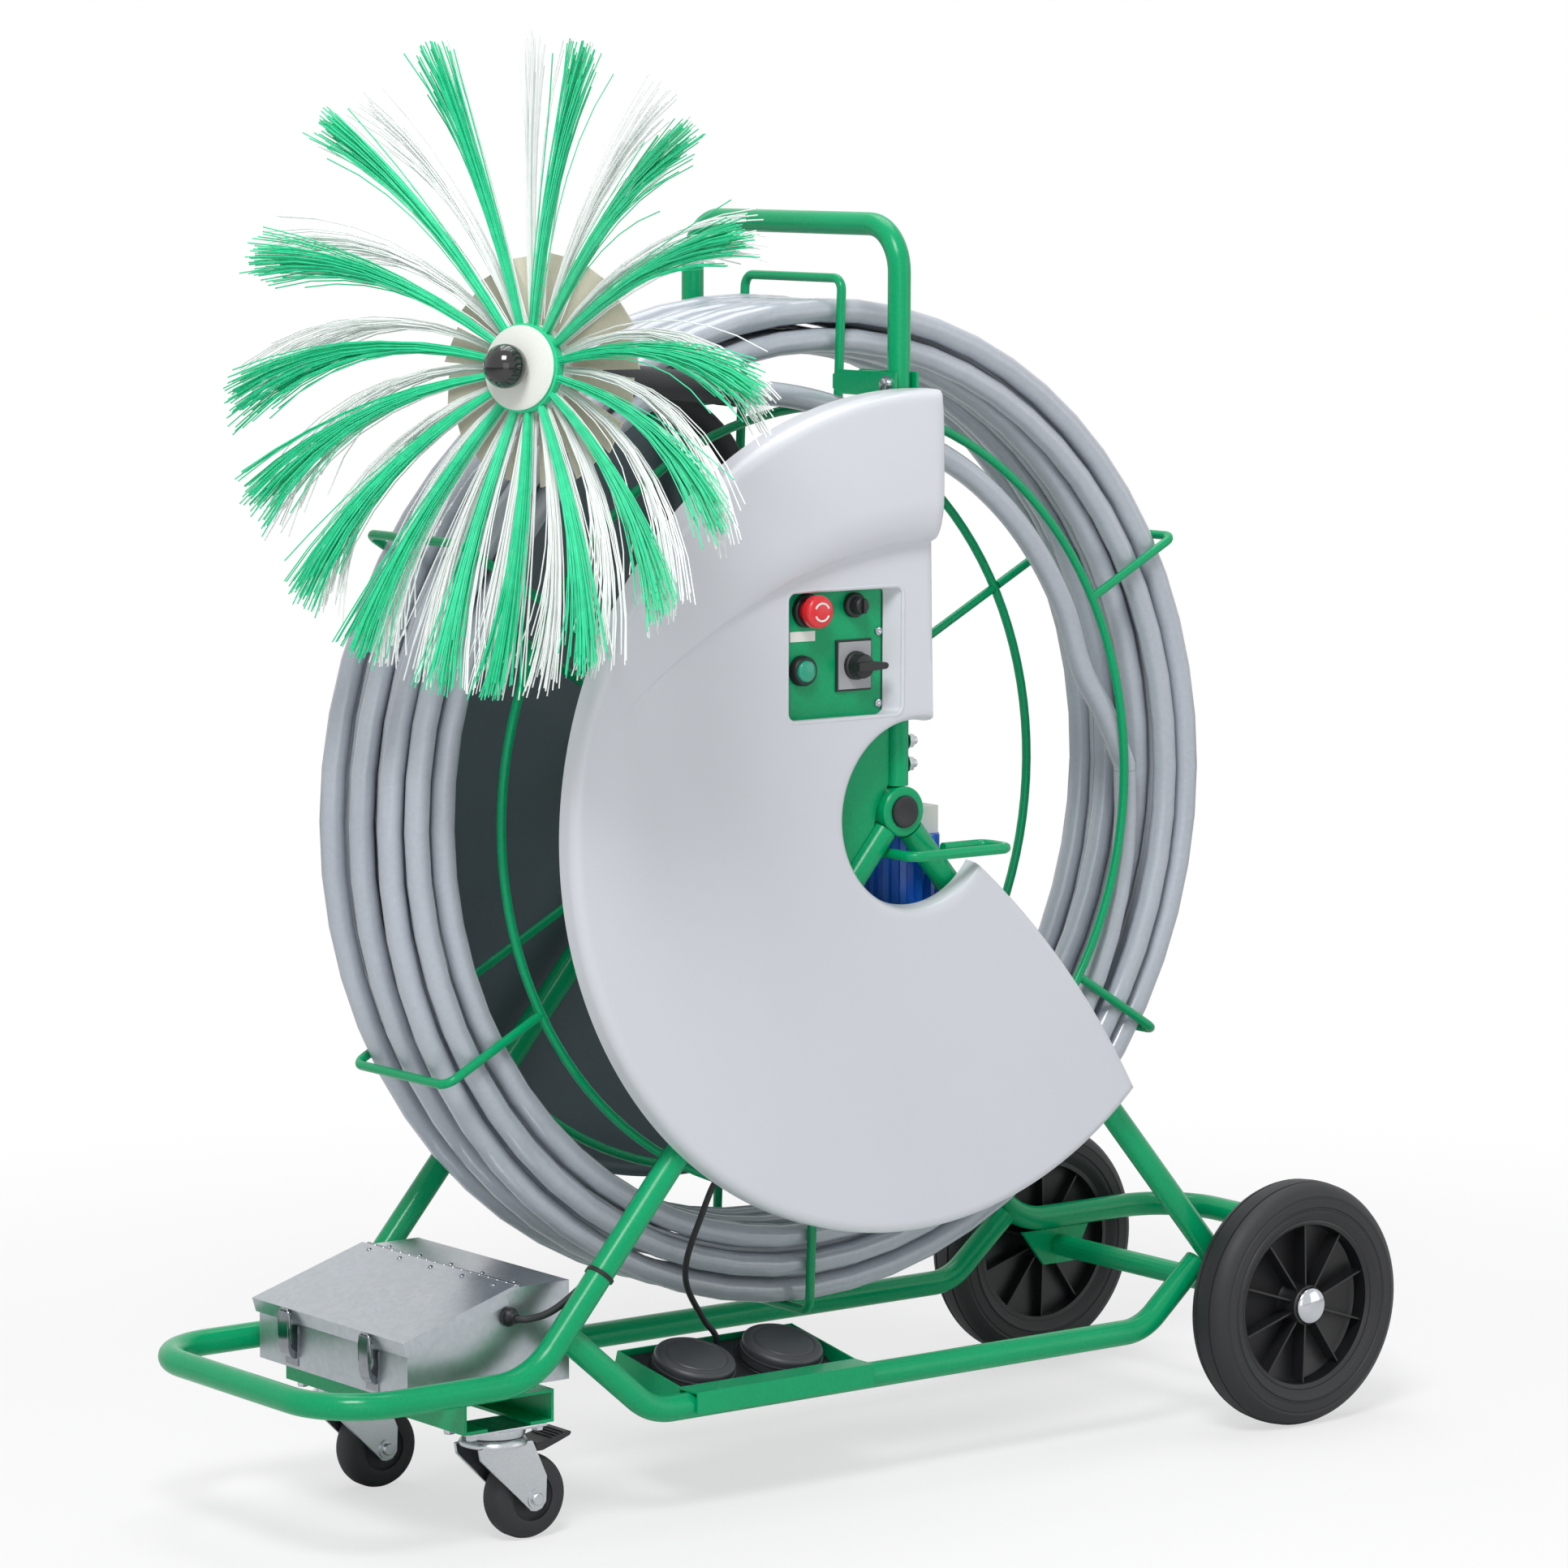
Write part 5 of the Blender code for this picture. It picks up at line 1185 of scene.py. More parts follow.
@dataclass
class Casters:
    """Two braked swivel casters: bolted top plate, pressed fork, rubber wheel and brake pedal."""

    x: float = -0.440
    y: float = 0.124
    trail: float = 0.034
    wheel_r: float = 0.040
    plate_top: float = 0.1112
    head: float = 0.1019

    def build(self) -> None:
        """Dresses both casters."""
        for side, sign in (("near", -1), ("far", 1)):
            place = Matrix.Translation(at((self.x, sign * self.y, 0.0)))
            self.plate(side, place)
            self.fork(side, place)
            self.wheel(side, place)
            self.brake(side, place)

    def plate(self, side: str, place: Matrix) -> None:
        """The top plate, its race and four bolt heads.

        Args:
            side: near or far.
            place: the caster's frame on the floor.
        """
        under = self.plate_top - 0.003
        low = Vector((-0.043, -0.0258, under))
        high = Vector((0.043, 0.0258, self.plate_top))
        parts = [Bench.slab(f"{side}_plate_sheet", low, high, 0.0007)]
        race = ((0, under + 0.001), (0.030, under + 0.001), (0.0302, under - 0.002),
                (0.0292, under - 0.006), (0, under - 0.006))
        parts.append(Bench.lathe(f"{side}_race", race, Vector(), Axis.Z, 48))
        nut = ((0, under + 0.0005), (0.0058, under + 0.0005), (0.0058, under - 0.0035),
               (0.0046, under - 0.0045), (0, under - 0.0045))
        for x in (-0.0365, 0.0365):
            for y in (-0.018, 0.018):
                parts.append(Bench.lathe(f"{side}_nut", nut, Vector((x, y, 0)), Axis.Z, 6))
        dress(moved(Bench.join(f"{side}_swivel_plate", parts), place), BRIGHT_ZINC,
              "frame", f"{side}_caster_plate")

    def fork(self, side: str, place: Matrix) -> None:
        """The pressed fork: a crown, two cheeks and the wheel's bolt.

        Args:
            side: near or far.
            place: the caster's frame on the floor.
        """
        head, inside, wall = self.head - FIT_GAP, 0.018, 0.003
        crown = ((0, head), (0.0262, head), (0.0285, head - 0.0010), (0.0315, head - 0.0044),
                 (0.032, head - 0.0060), (0.0316, head - 0.008), (0, head - 0.008))
        parts = [Bench.lathe(f"{side}_crown", crown, Vector(), Axis.Z, 56)]
        low_x, high_x = self.trail - 0.011, self.trail + 0.011
        cheek = ((-0.030, head - 0.0075), (-0.028, head - 0.018), (low_x, 0.034),
                 (self.trail - 0.006, 0.0290), (self.trail, 0.0280), (self.trail + 0.006, 0.0298),
                 (high_x, 0.036), (self.trail + 0.012, 0.060),
                 (0.030, head - 0.0065), (-0.020, head - 0.0062))
        for sign in (-1, 1):
            low, high = sorted((sign * inside, sign * (inside + wall)))
            parts.append(Bench.pulled(f"{side}_cheek_{sign}", cheek, low, high, Axis.Y, bevel=0.0007))
        bolt_end = inside + wall + 0.004
        pin = ((0, -bolt_end), (0.0052, -bolt_end), (0.006, -bolt_end + 0.0008), (0.006, bolt_end - 0.0008),
               (0.0052, bolt_end), (0, bolt_end))
        parts.append(Bench.lathe(f"{side}_bolt", pin, Vector((self.trail, 0, self.wheel_r)), Axis.Y, 24))
        washer = ((0.0058, 0), (0.0098, 0), (0.0098, 0.0012), (0.0058, 0.0012))
        for y in (-inside - wall - 0.0012, inside + wall):
            middle = Vector((self.trail, y, self.wheel_r))
            parts.append(Bench.lathe(f"{side}_washer", washer, middle, Axis.Y, 28))
        dress(moved(Bench.join(f"{side}_swivel_fork", parts), place), BRIGHT_ZINC,
              f"{side}_swivel", f"{side}_caster_fork")

    def wheel(self, side: str, place: Matrix) -> None:
        """The caster's rubber wheel with its recessed hub.

        Args:
            side: near or far.
            place: the caster's frame on the floor.
        """
        outer = [(0.0063, -0.017), (0.0105, -0.017), (0.011, -0.0165), (0.011, -0.0115), (0.0205, -0.011),
                 (0.022, -0.0125), (0.0222, -0.0148), (0.0235, -0.015), (0.0305, -0.015), (0.0318, -0.0142),
                 (0.0345, -0.0140), (0.0375, -0.0115), (0.0392, -0.0080), (0.0400, -0.0045)]
        profile = outer + [(radius, -y) for radius, y in reversed(outer)]
        middle = Vector((self.trail, 0, self.wheel_r))
        turned = Bench.lathe(f"{side}_caster_tread", profile, middle, Axis.Y, 64)
        dress(moved(turned, place), TYRE_RUBBER, f"{side}_roller", f"{side}_caster_wheel")

    def brake(self, side: str, place: Matrix) -> None:
        """The brake pedal with a ribbed tread.

        Args:
            side: near or far.
            place: the caster's frame on the floor.
        """
        hinge = Vector((0.040, 0, self.head - 0.0143))
        lever = ((-0.004, -0.004), (0.004, -0.004), (0.022, 0.0018), (0.034, 0.006), (0.036, 0.0085),
                 (0.0352, 0.010), (0.030, 0.010), (0.004, 0.004), (-0.004, 0.004))
        parts = [Bench.pulled(f"{side}_pedal_lever", lever, -0.0177, 0.0177, Axis.Y, hinge, 0.0008)]
        for x in (0.0145, 0.019, 0.0235, 0.028):
            z = 0.004 + (x - 0.004) * 0.006 / 0.026
            low = hinge + Vector((x - 0.0009, -0.015, z - 0.0008))
            high = hinge + Vector((x + 0.0009, 0.015, z + 0.0007))
            parts.append(Bench.slab(f"{side}_pedal_rib", low, high, 0.0003))
        dress(moved(Bench.join(f"{side}_brake_lever", parts), place), BLACK_PP,
              f"{side}_brake", f"{side}_brake_pedal")


@dataclass
class ToolBox:
    """Fittings of the galvanised box on the front loop: hinge, rivets, catches, gland, lead and ties."""

    front_x: float = -0.535
    hinge_x: float = -0.413
    half_width: float = 0.125
    top_z: float = 0.236
    front_top_z: float = 0.198
    floor_z: float = 0.1425
    latch_y: float = 0.068
    lead_r: float = 0.0035

    def build(self) -> None:
        """Dresses the box's fittings."""
        self.hinge()
        for side, sign in (("near", -1), ("far", 1)):
            self.catch(side, sign * self.latch_y)
        self.lead()
        self.ties()

    def hinge(self) -> None:
        """A piano hinge: knuckles of the box and the lid in turn, and a row of rivets on each leaf."""
        knuckle = ((0, 0), (0.0024, 0), (0.0027, 0.0003), (0.0027, 0.0141), (0.0024, 0.0144), (0, 0.0144))
        slope = math.atan2(self.top_z - self.front_top_z, self.hinge_x - self.front_x)
        tilt = Matrix.Translation(at((self.hinge_x, 0, self.top_z + 0.002))) @ Matrix.Rotation(-slope, 4, "Y")
        rivet = ((0, 0.0016), (0.0015, 0.0013), (0.0026, 0.0004), (0.0028, -0.0003), (0, -0.0003))
        leaves = {"frame": [], "lid": []}
        knuckles, first_y, knuckle_pitch = 17, -0.124, 0.0146
        rivets, first_rivet, rivet_pitch = 5, -0.104, 0.052
        for index in range(knuckles):
            start = at((self.hinge_x, first_y + knuckle_pitch * index, self.top_z + 0.0002))
            leaves["lid" if index % 2 else "frame"].append(Bench.lathe("knuckle", knuckle, start, Axis.Y, 16))
        for index in range(rivets):
            y = first_rivet + rivet_pitch * index
            on_box = at((self.hinge_x + 0.0105, y, self.top_z))
            leaves["frame"].append(Bench.lathe("rivet", rivet, on_box, Axis.Z, 16))
            on_lid = Bench.lathe("rivet", rivet, Vector((-0.0125, y, 0.002)), Axis.Z, 16)
            leaves["lid"].append(moved(on_lid, tilt))
        for body, parts in leaves.items():
            # The hinge leaves' darker plating is painted dark reflection.
            dress(Bench.join(f"hinge_leaf_{body}", parts), CHROME_PAINTED_DARK_REFLECTION, body)

    def catch(self, side: str, y: float) -> None:
        """One toggle catch: the lever with its curled lip, the wire bail, its plate and the lid's keeper.

        Args:
            side: near or far.
            y: its place across the box.
        """
        pivot = at((self.front_x - FIT_GAP, y, self.floor_z + 0.010))
        lever = ((0.0, 0.0), (0.0, 0.006), (-0.0050, 0.0105), (-0.0070, 0.0150), (-0.0073, 0.0300),
                 (-0.0068, 0.0450), (-0.0100, 0.0450), (-0.0103, 0.0300), (-0.0102, 0.0130),
                 (-0.0090, 0.0070), (-0.0062, 0.0020), (-0.0030, 0.0))
        parts = [Bench.pulled(f"{side}_toggle", lever, -0.0080, 0.0080, Axis.Y, pivot, 0.0006)]
        bail = [Vector((-0.0085, -0.0092, 0.020)), Vector((-0.0088, -0.0092, 0.036)),
                Vector((-0.0086, -0.0075, 0.0440)), Vector((-0.0085, -0.0045, 0.0468)),
                Vector((-0.0085, 0.0045, 0.0468)), Vector((-0.0086, 0.0075, 0.0440)),
                Vector((-0.0088, 0.0092, 0.036)), Vector((-0.0085, 0.0092, 0.020))]
        parts.append(Bench.tube(f"{side}_bail", [[pivot + point for point in bail]], 0.0012, 10))
        # The catch's darker plating is painted dark reflection.
        dress(Bench.join(f"{side}_toggle_catch", parts), CHROME_PAINTED_DARK_REFLECTION, f"{side}_catch", f"{side}_latch")
        low = at((self.front_x - 0.0011, y - 0.0105, 0.1455))
        high = at((self.front_x + 0.0002, y + 0.0105, 0.1840))
        dress(Bench.slab(f"{side}_catch_plate", low, high, 0.0004), CHROME_PAINTED_DARK_REFLECTION, "frame")
        low, high = at((-0.5432, y - 0.0085, 0.1905)), at((-0.5408, y + 0.0085, 0.1968))
        dress(Bench.slab(f"{side}_catch_keeper", low, high, 0.0006), CHROME_PAINTED_DARK_REFLECTION, "lid")

    def lead(self) -> None:
        """The black lead from its gland, up the near front leg to the back of the control plate."""
        near, x, z = -self.half_width - FIT_GAP, -0.424, 0.210
        ring = ((0, 0), (0.0092, 0), (0.0092, -0.0028), (0.0080, -0.0032), (0.0080, -0.0062),
                (0.0068, -0.0078), (0.0052, -0.0100), (0.0046, -0.0140), (0, -0.0140))
        gland = dress(Bench.lathe("lead_gland", ring, at((x, near, z)), Axis.Y, 32),
                      BLACK_PP, "frame", "box_cable")
        side = -MAST_Y + TUBE_R + self.lead_r + FIT_GAP
        plate = -MAST_Y + 0.002 + FIT_GAP
        end_x, end_z = -0.1165, 0.5495
        spots = (-0.360, -0.300, -0.220, -0.150)
        by_leg = [at((spot, side, HUB_Z + spot * math.tan(LEG_ANGLE))) for spot in spots]
        route = [at((x, near - 0.010, z)), at((x + 0.002, near - 0.018, z)), at((x + 0.020, side, z + 0.001)),
                 *by_leg, at((-0.127, side + 0.003, 0.531)), at((end_x, side - 0.001, 0.549)),
                 at((end_x, plate + 0.006, end_z)), at((end_x, plate + FIT_GAP, end_z))]
        path = smooth(route, 80)
        piece = dress(Bench.curve("box_lead", [path], self.lead_r, 12), TYRE_RUBBER, "frame", "box_cable")

    def ties(self) -> None:
        """Two cable ties that hold the lead to the leg."""
        along = Vector((math.cos(LEG_ANGLE), 0, math.sin(LEG_ANGLE)))
        over = Vector((-math.sin(LEG_ANGLE), 0, math.cos(LEG_ANGLE)))
        loop_r, bulge, squash, steps = 0.0134, 0.0072, 0.55, 36
        for index, x in enumerate((-0.347, -0.215)):
            middle = at((x, -MAST_Y, HUB_Z + x * math.tan(LEG_ANGLE)))
            loops = []
            for shift in (-0.0012, 0.0, 0.0012):
                loop = []
                for step in range(steps):
                    angle = 2 * math.pi * step / steps
                    inward = ease((math.cos(angle) - 0.2) / 0.8)
                    out = Vector((0, loop_r * math.cos(angle) + bulge * inward, 0))
                    round_leg = over * loop_r * math.sin(angle) * (1 - squash * inward)
                    loop.append(middle + out + round_leg + along * shift)
                loops.append(loop)
            dress(Bench.tube(f"cable_tie_{index}", loops, 0.0009, 6, closed=True), BLACK_PP, "frame")


@dataclass
class FootPedals:
    """Two round sprung pedals in the tilted tray, and the thin tube that leaves their base."""

    centre_x: float = -0.1325
    tilt: float = math.radians(18)
    pitch: float = 0.105
    middle: float = 0.0545
    base_top: float = 0.0075
    corner: tuple[float, float] = (-0.1367, 0.094)
    tube_r: float = 0.003

    def build(self) -> None:
        """Dresses the pedals and the tube."""
        place = Matrix.Translation(at((self.centre_x, *self.corner))) @ Matrix.Rotation(self.tilt, 4, "X")
        low = self.base_top
        dome = ((0, low), (0.0385, low), (0.0400, low + 0.0010), (0.0400, low + 0.0078),
                (0.0394, low + 0.0084), (0.0394, low + 0.0090), (0.0409, low + 0.0093),
                (0.0409, low + 0.0102), (0.0394, low + 0.0106), (0.0398, low + 0.0158),
                (0.0386, low + 0.0182), (0.0360, low + 0.0197), (0.0318, low + 0.0204),
                (0.0306, low + 0.0196), (0.0290, low + 0.0196), (0.0280, low + 0.0205),
                (0.0120, low + 0.0210), (0, low + 0.0211))
        well = ((0.0418, 0.0078), (0.0440, 0.0078), (0.0446, 0.0084), (0.0440, 0.0092),
                (0.0424, 0.0092), (0.0418, 0.0086))
        for name, sign in (("front", -1), ("rear", 1)):
            middle = Vector((sign * self.pitch / 2, self.middle, 0))
            piece = Bench.lathe(f"{name}_pedal_dome", dome, middle, Axis.Z, 72)
            dress(moved(piece, place), PEDAL_RUBBER, f"{name}_foot", f"{name}_pedal")
            ring = Bench.lathe(f"{name}_pedal_collar", well, middle, Axis.Z, 72)
            dress(moved(ring, place), BLACK_PP, "frame")
        self.thin_tube()

    def thin_tube(self) -> None:
        """The thin black air tube from the pedal base up behind the cover."""
        along = Vector((0, math.cos(self.tilt), math.sin(self.tilt)))
        up = Vector((0, -math.sin(self.tilt), math.cos(self.tilt)))
        start = at((self.centre_x, *self.corner)) + along * (self.middle + 0.036) + up * 0.0086
        route = [start, start + up * 0.008, at((-0.150, -0.060, 0.160)), at((-0.195, -0.090, 0.215)),
                 at((-0.208, -0.130, 0.275)), at((-0.205, -0.166, 0.330)), at((-0.200, -0.186, 0.344)),
                 at((-0.200, -0.195, 0.345))]
        path = smooth(route, 60)
        piece = dress(Bench.curve("pedal_air_tube", [path], self.tube_r, 12),
                      TYRE_RUBBER, "frame", "pedal_tube")


@dataclass(frozen=True)
class Moulding:
    """Where a formed cover's face and back edge lie, its rim's corner radius and its raised shoulder."""

    face_y: float
    back_y: float
    corner: float
    shoulder: float = 0.0

    def depth(self) -> float:
        """How far the rim turns back.

        Returns:
            The distance from the face to the back edge.
        """
        return abs(self.back_y - self.face_y)


@dataclass
class Covers:
    """Two C-shaped covers: the pale near one with its control pocket, and the shallow far one, dark grey
    partly as painted shade.

    The near cover's hood bulges out over a crease. The crease starts at crease_r on the upright edge and runs
    out by crease_drop within crease_reach, and the grid's row crease_row is laid along it. The upright edge
    leans by edge_lean from lean_r on. cut_start and cut_sweep give the slanted edge, in degrees.
    """

    near_form: Moulding = Moulding(-0.199, -0.1758, 0.011, 0.021)
    far_form: Moulding = Moulding(0.190, 0.1758, 0.012)
    rim_r: float = 0.401
    bore_r: float = 0.088
    edge_x: float = 0.018
    wall: float = 0.003
    window_left: float = -0.158
    window_right: float = -0.0345
    window_flare: float = 0.0125
    panel_z: float = 0.157
    panel_height: float = 0.121
    panel_depth: float = 0.0152
    crease_r: float = 0.258
    crease_reach: float = math.radians(76)
    crease_row: int = 47
    crease_drop: float = 0.120
    crease_power: float = 2.5
    hood_rise: float = 0.040
    hood_fall: float = 0.5
    edge_lean: float = 0.007
    lean_r: float = 0.28
    lean_span: float = 0.10
    cut_start: float = -35.0
    cut_sweep: float = -11.0
    lip: float = 0.008
    crisp: float = math.radians(38)
    columns: int = 150
    rings: int = 84

    def build(self) -> None:
        """Dresses both covers."""
        self.near()
        # The far cover's dark grey is partly painted shade.
        dress(self.sheet("formed_far_cover", self.far_form), DARK_ABS_PAINTED_SHADE, "frame", "far_cover")

    def flat(self, form: Moulding) -> tuple[float, float]:
        """Where the cover's face starts and ends between its two rounded edges.

        Args:
            form: the cover's moulding.

        Returns:
            The inner and the outer radius.
        """
        return self.bore_r + self.lip, self.rim_r - form.corner

    def rows(self, form: Moulding) -> list[tuple[float, float]]:
        """The cover's radial section as (radius, share of the rim's depth).

        Args:
            form: the cover's moulding.

        Returns:
            Points from the bore's lip to the rim's edge.
        """
        lip = [(0.0, 0.85), (0.0010, 0.48), (0.0022, 0.26), (0.0038, 0.11), (0.0058, 0.03), (self.lip, 0.0)]
        section = [(self.bore_r + out, drop) for out, drop in lip]
        inner, outer = self.flat(form)
        section += [(inner + (outer - inner) * step / self.rings, 0.0) for step in range(1, self.rings + 1)]
        bends = 10
        for step in range(1, bends + 1):
            angle = math.pi / 2 * step / bends
            drop = (1 - math.cos(angle)) * form.corner / form.depth()
            section.append((outer + form.corner * math.sin(angle), drop))
        return section + [(self.rim_r + 0.0004, 1.0)]

    def angle(self, radius: float, share: float) -> float:
        """The angle at which a share of the way round lies.

        Args:
            radius: distance from the axle.
            share: place from the upright edge, 0, round to the slanted edge, 1.

        Returns:
            The angle in radians.
        """
        lean = self.edge_lean * min(max((radius - self.lean_r) / self.lean_span, 0.0), 1.0)
        start = math.acos((self.edge_x + lean) / radius)
        out = (radius - self.bore_r) / (self.rim_r - self.bore_r)
        end = 2 * math.pi + math.radians(self.cut_start + self.cut_sweep * out)
        return start + (end - start) * share

    def spot(self, form: Moulding, radius: float, drop: float, share: float, edge_drop: float) -> Vector:
        """One point of the cover's face.

        Args:
            form: the cover's moulding.
            radius: distance from the axle.
            drop: the section's depth there.
            share: place from the upright edge, 0, round to the slanted edge, 1.
            edge_drop: depth that the two cut edges turn back by.

        Returns:
            The point in the row frame.
        """
        angle = self.angle(radius, share)
        turned = min(max((angle - math.pi / 2) / self.crease_reach, 0.0), 1.0)
        hood = 0.0
        if form.shoulder:
            inner, outer = self.flat(form)
            plain = inner + (outer - inner) * self.crease_row / self.rings
            crease = self.crease_r + self.crease_drop * turned ** self.crease_power
            if inner < radius <= plain:
                radius = inner + (radius - inner) * (crease - inner) / (plain - inner)
            elif plain < radius < outer:
                radius = crease + (radius - plain) * (outer - crease) / (outer - plain)
            angle = self.angle(radius, share)
            rise = min(max((radius - crease) / self.hood_rise, 0.0), 1.0)
            roll = max(radius - crease, 0.0) / max(self.rim_r - crease, 0.02)
            hood = math.sqrt(1 - (1 - rise) ** 2) * (1 - self.hood_fall * roll ** 2) * (1 - turned ** 2)
        depth = max(drop, edge_drop)
        y = form.face_y + (form.back_y - form.face_y) * depth - form.shoulder * hood * max(0.0, 1 - depth)
        return at((radius * math.cos(angle), y, HUB_Z + radius * math.sin(angle)))

    def sheet(self, name: str, form: Moulding) -> bpy.types.Object:
        """A formed sheet: a grid laid on the cover's face and given its wall.

        Args:
            name: the piece's name.
            form: the cover's moulding.

        Returns:
            The new piece.
        """
        section = self.rows(form)
        edge = 0.008
        turn = [(0.0, 0.85), (0.0012, 0.48), (0.0026, 0.26), (0.0045, 0.11), (0.0065, 0.03), (edge, 0.0)]
        inside = [(edge + (1 - 2 * edge) * step / self.columns, 0.0) for step in range(1, self.columns)]
        shares = turn + inside + [(1 - share, drop) for share, drop in reversed(turn)]
        Bench.clear()
        bpy.ops.mesh.primitive_grid_add(x_subdivisions=len(section) - 1,
                                        y_subdivisions=len(shares) - 1, size=1.0)
        cover = bpy.context.object
        cover.name = name
        for index, vert in enumerate(cover.data.vertices):
            column, row = divmod(index, len(section))
            vert.co = self.spot(form, *section[row], *shares[column])
        cover.data.update()
        if sum(face.normal.y * face.area for face in cover.data.polygons) * (form.face_y - form.back_y) < 0:
            Bench.only(cover)
            bpy.ops.object.mode_set(mode="EDIT")
            bpy.ops.mesh.select_all(action="SELECT")
            bpy.ops.mesh.flip_normals()
            bpy.ops.object.mode_set(mode="OBJECT")
        Bench.modify(cover, "SOLIDIFY", thickness=self.wall, offset=-1.0)
        Bench.only(cover)
        bpy.ops.object.shade_smooth_by_angle(angle=self.crisp)
        return cover

    def near(self) -> None:
        """The near cover, with a rounded window and its pocket."""
        cover = self.sheet("formed_near_cover", self.near_form)
        face = self.near_form.face_y
        rear = face + self.panel_depth
        flare = self.window_flare
        hub = at((0, 0, HUB_Z))
        shell = self.window(0.004, 0.012, flare)
        pocket = Bench.pulled("pocket_body", shell, face + 0.001, rear, Axis.Y, hub)
        Bench.cut(cover, pocket, "UNION")
        hole = Bench.pulled("pocket_hole", self.window(0.0, 0.009), face - 0.02, rear + 0.02, Axis.Y, hub)
        middle, back = at(((self.window_left + self.window_right) / 2, rear, 0.0)).xy
        for vert in hole.data.vertices:
            if vert.co.x > middle:
                vert.co.x += flare * (back - vert.co.y) / self.panel_depth
        Bench.cut(cover, hole)
        Bench.only(cover)
        bpy.ops.object.shade_smooth_by_angle(angle=self.crisp)
        dress(cover, GREY_ABS, "frame", "near_cover")
        outline = [at((x, face + 0.0017, HUB_Z + z)) for x, z in self.window(0.0009, 0.0098, flare, 10)]
        dress(Bench.tube("window_lip", [outline], 0.0024, 12, closed=True), GREY_ABS, "frame")

    def window(self, grow: float, corner: float, flare: float = 0.0,
               steps: int = 8) -> list[tuple[float, float]]:
        """A rounded rectangle round the control window, in x and z from the axle.

        Args:
            grow: how far outside the window it runs.
            corner: its corner radius.
            flare: how much further its right side stands out.
            steps: segments in each corner.

        Returns:
            The outline's points.
        """
        middle = (self.window_left + self.window_right + flare) / 2
        wide = (self.window_right + flare - self.window_left) / 2 + grow - corner
        high = self.panel_height / 2 + grow - corner
        outline = []
        for quarter, (across, up) in enumerate(((1, 1), (-1, 1), (-1, -1), (1, -1))):
            for step in range(steps + 1):
                angle = math.pi / 2 * (quarter + step / steps)
                x = middle + across * wide + corner * math.cos(angle)
                outline.append((x, self.panel_z + up * high + corner * math.sin(angle)))
        return outline


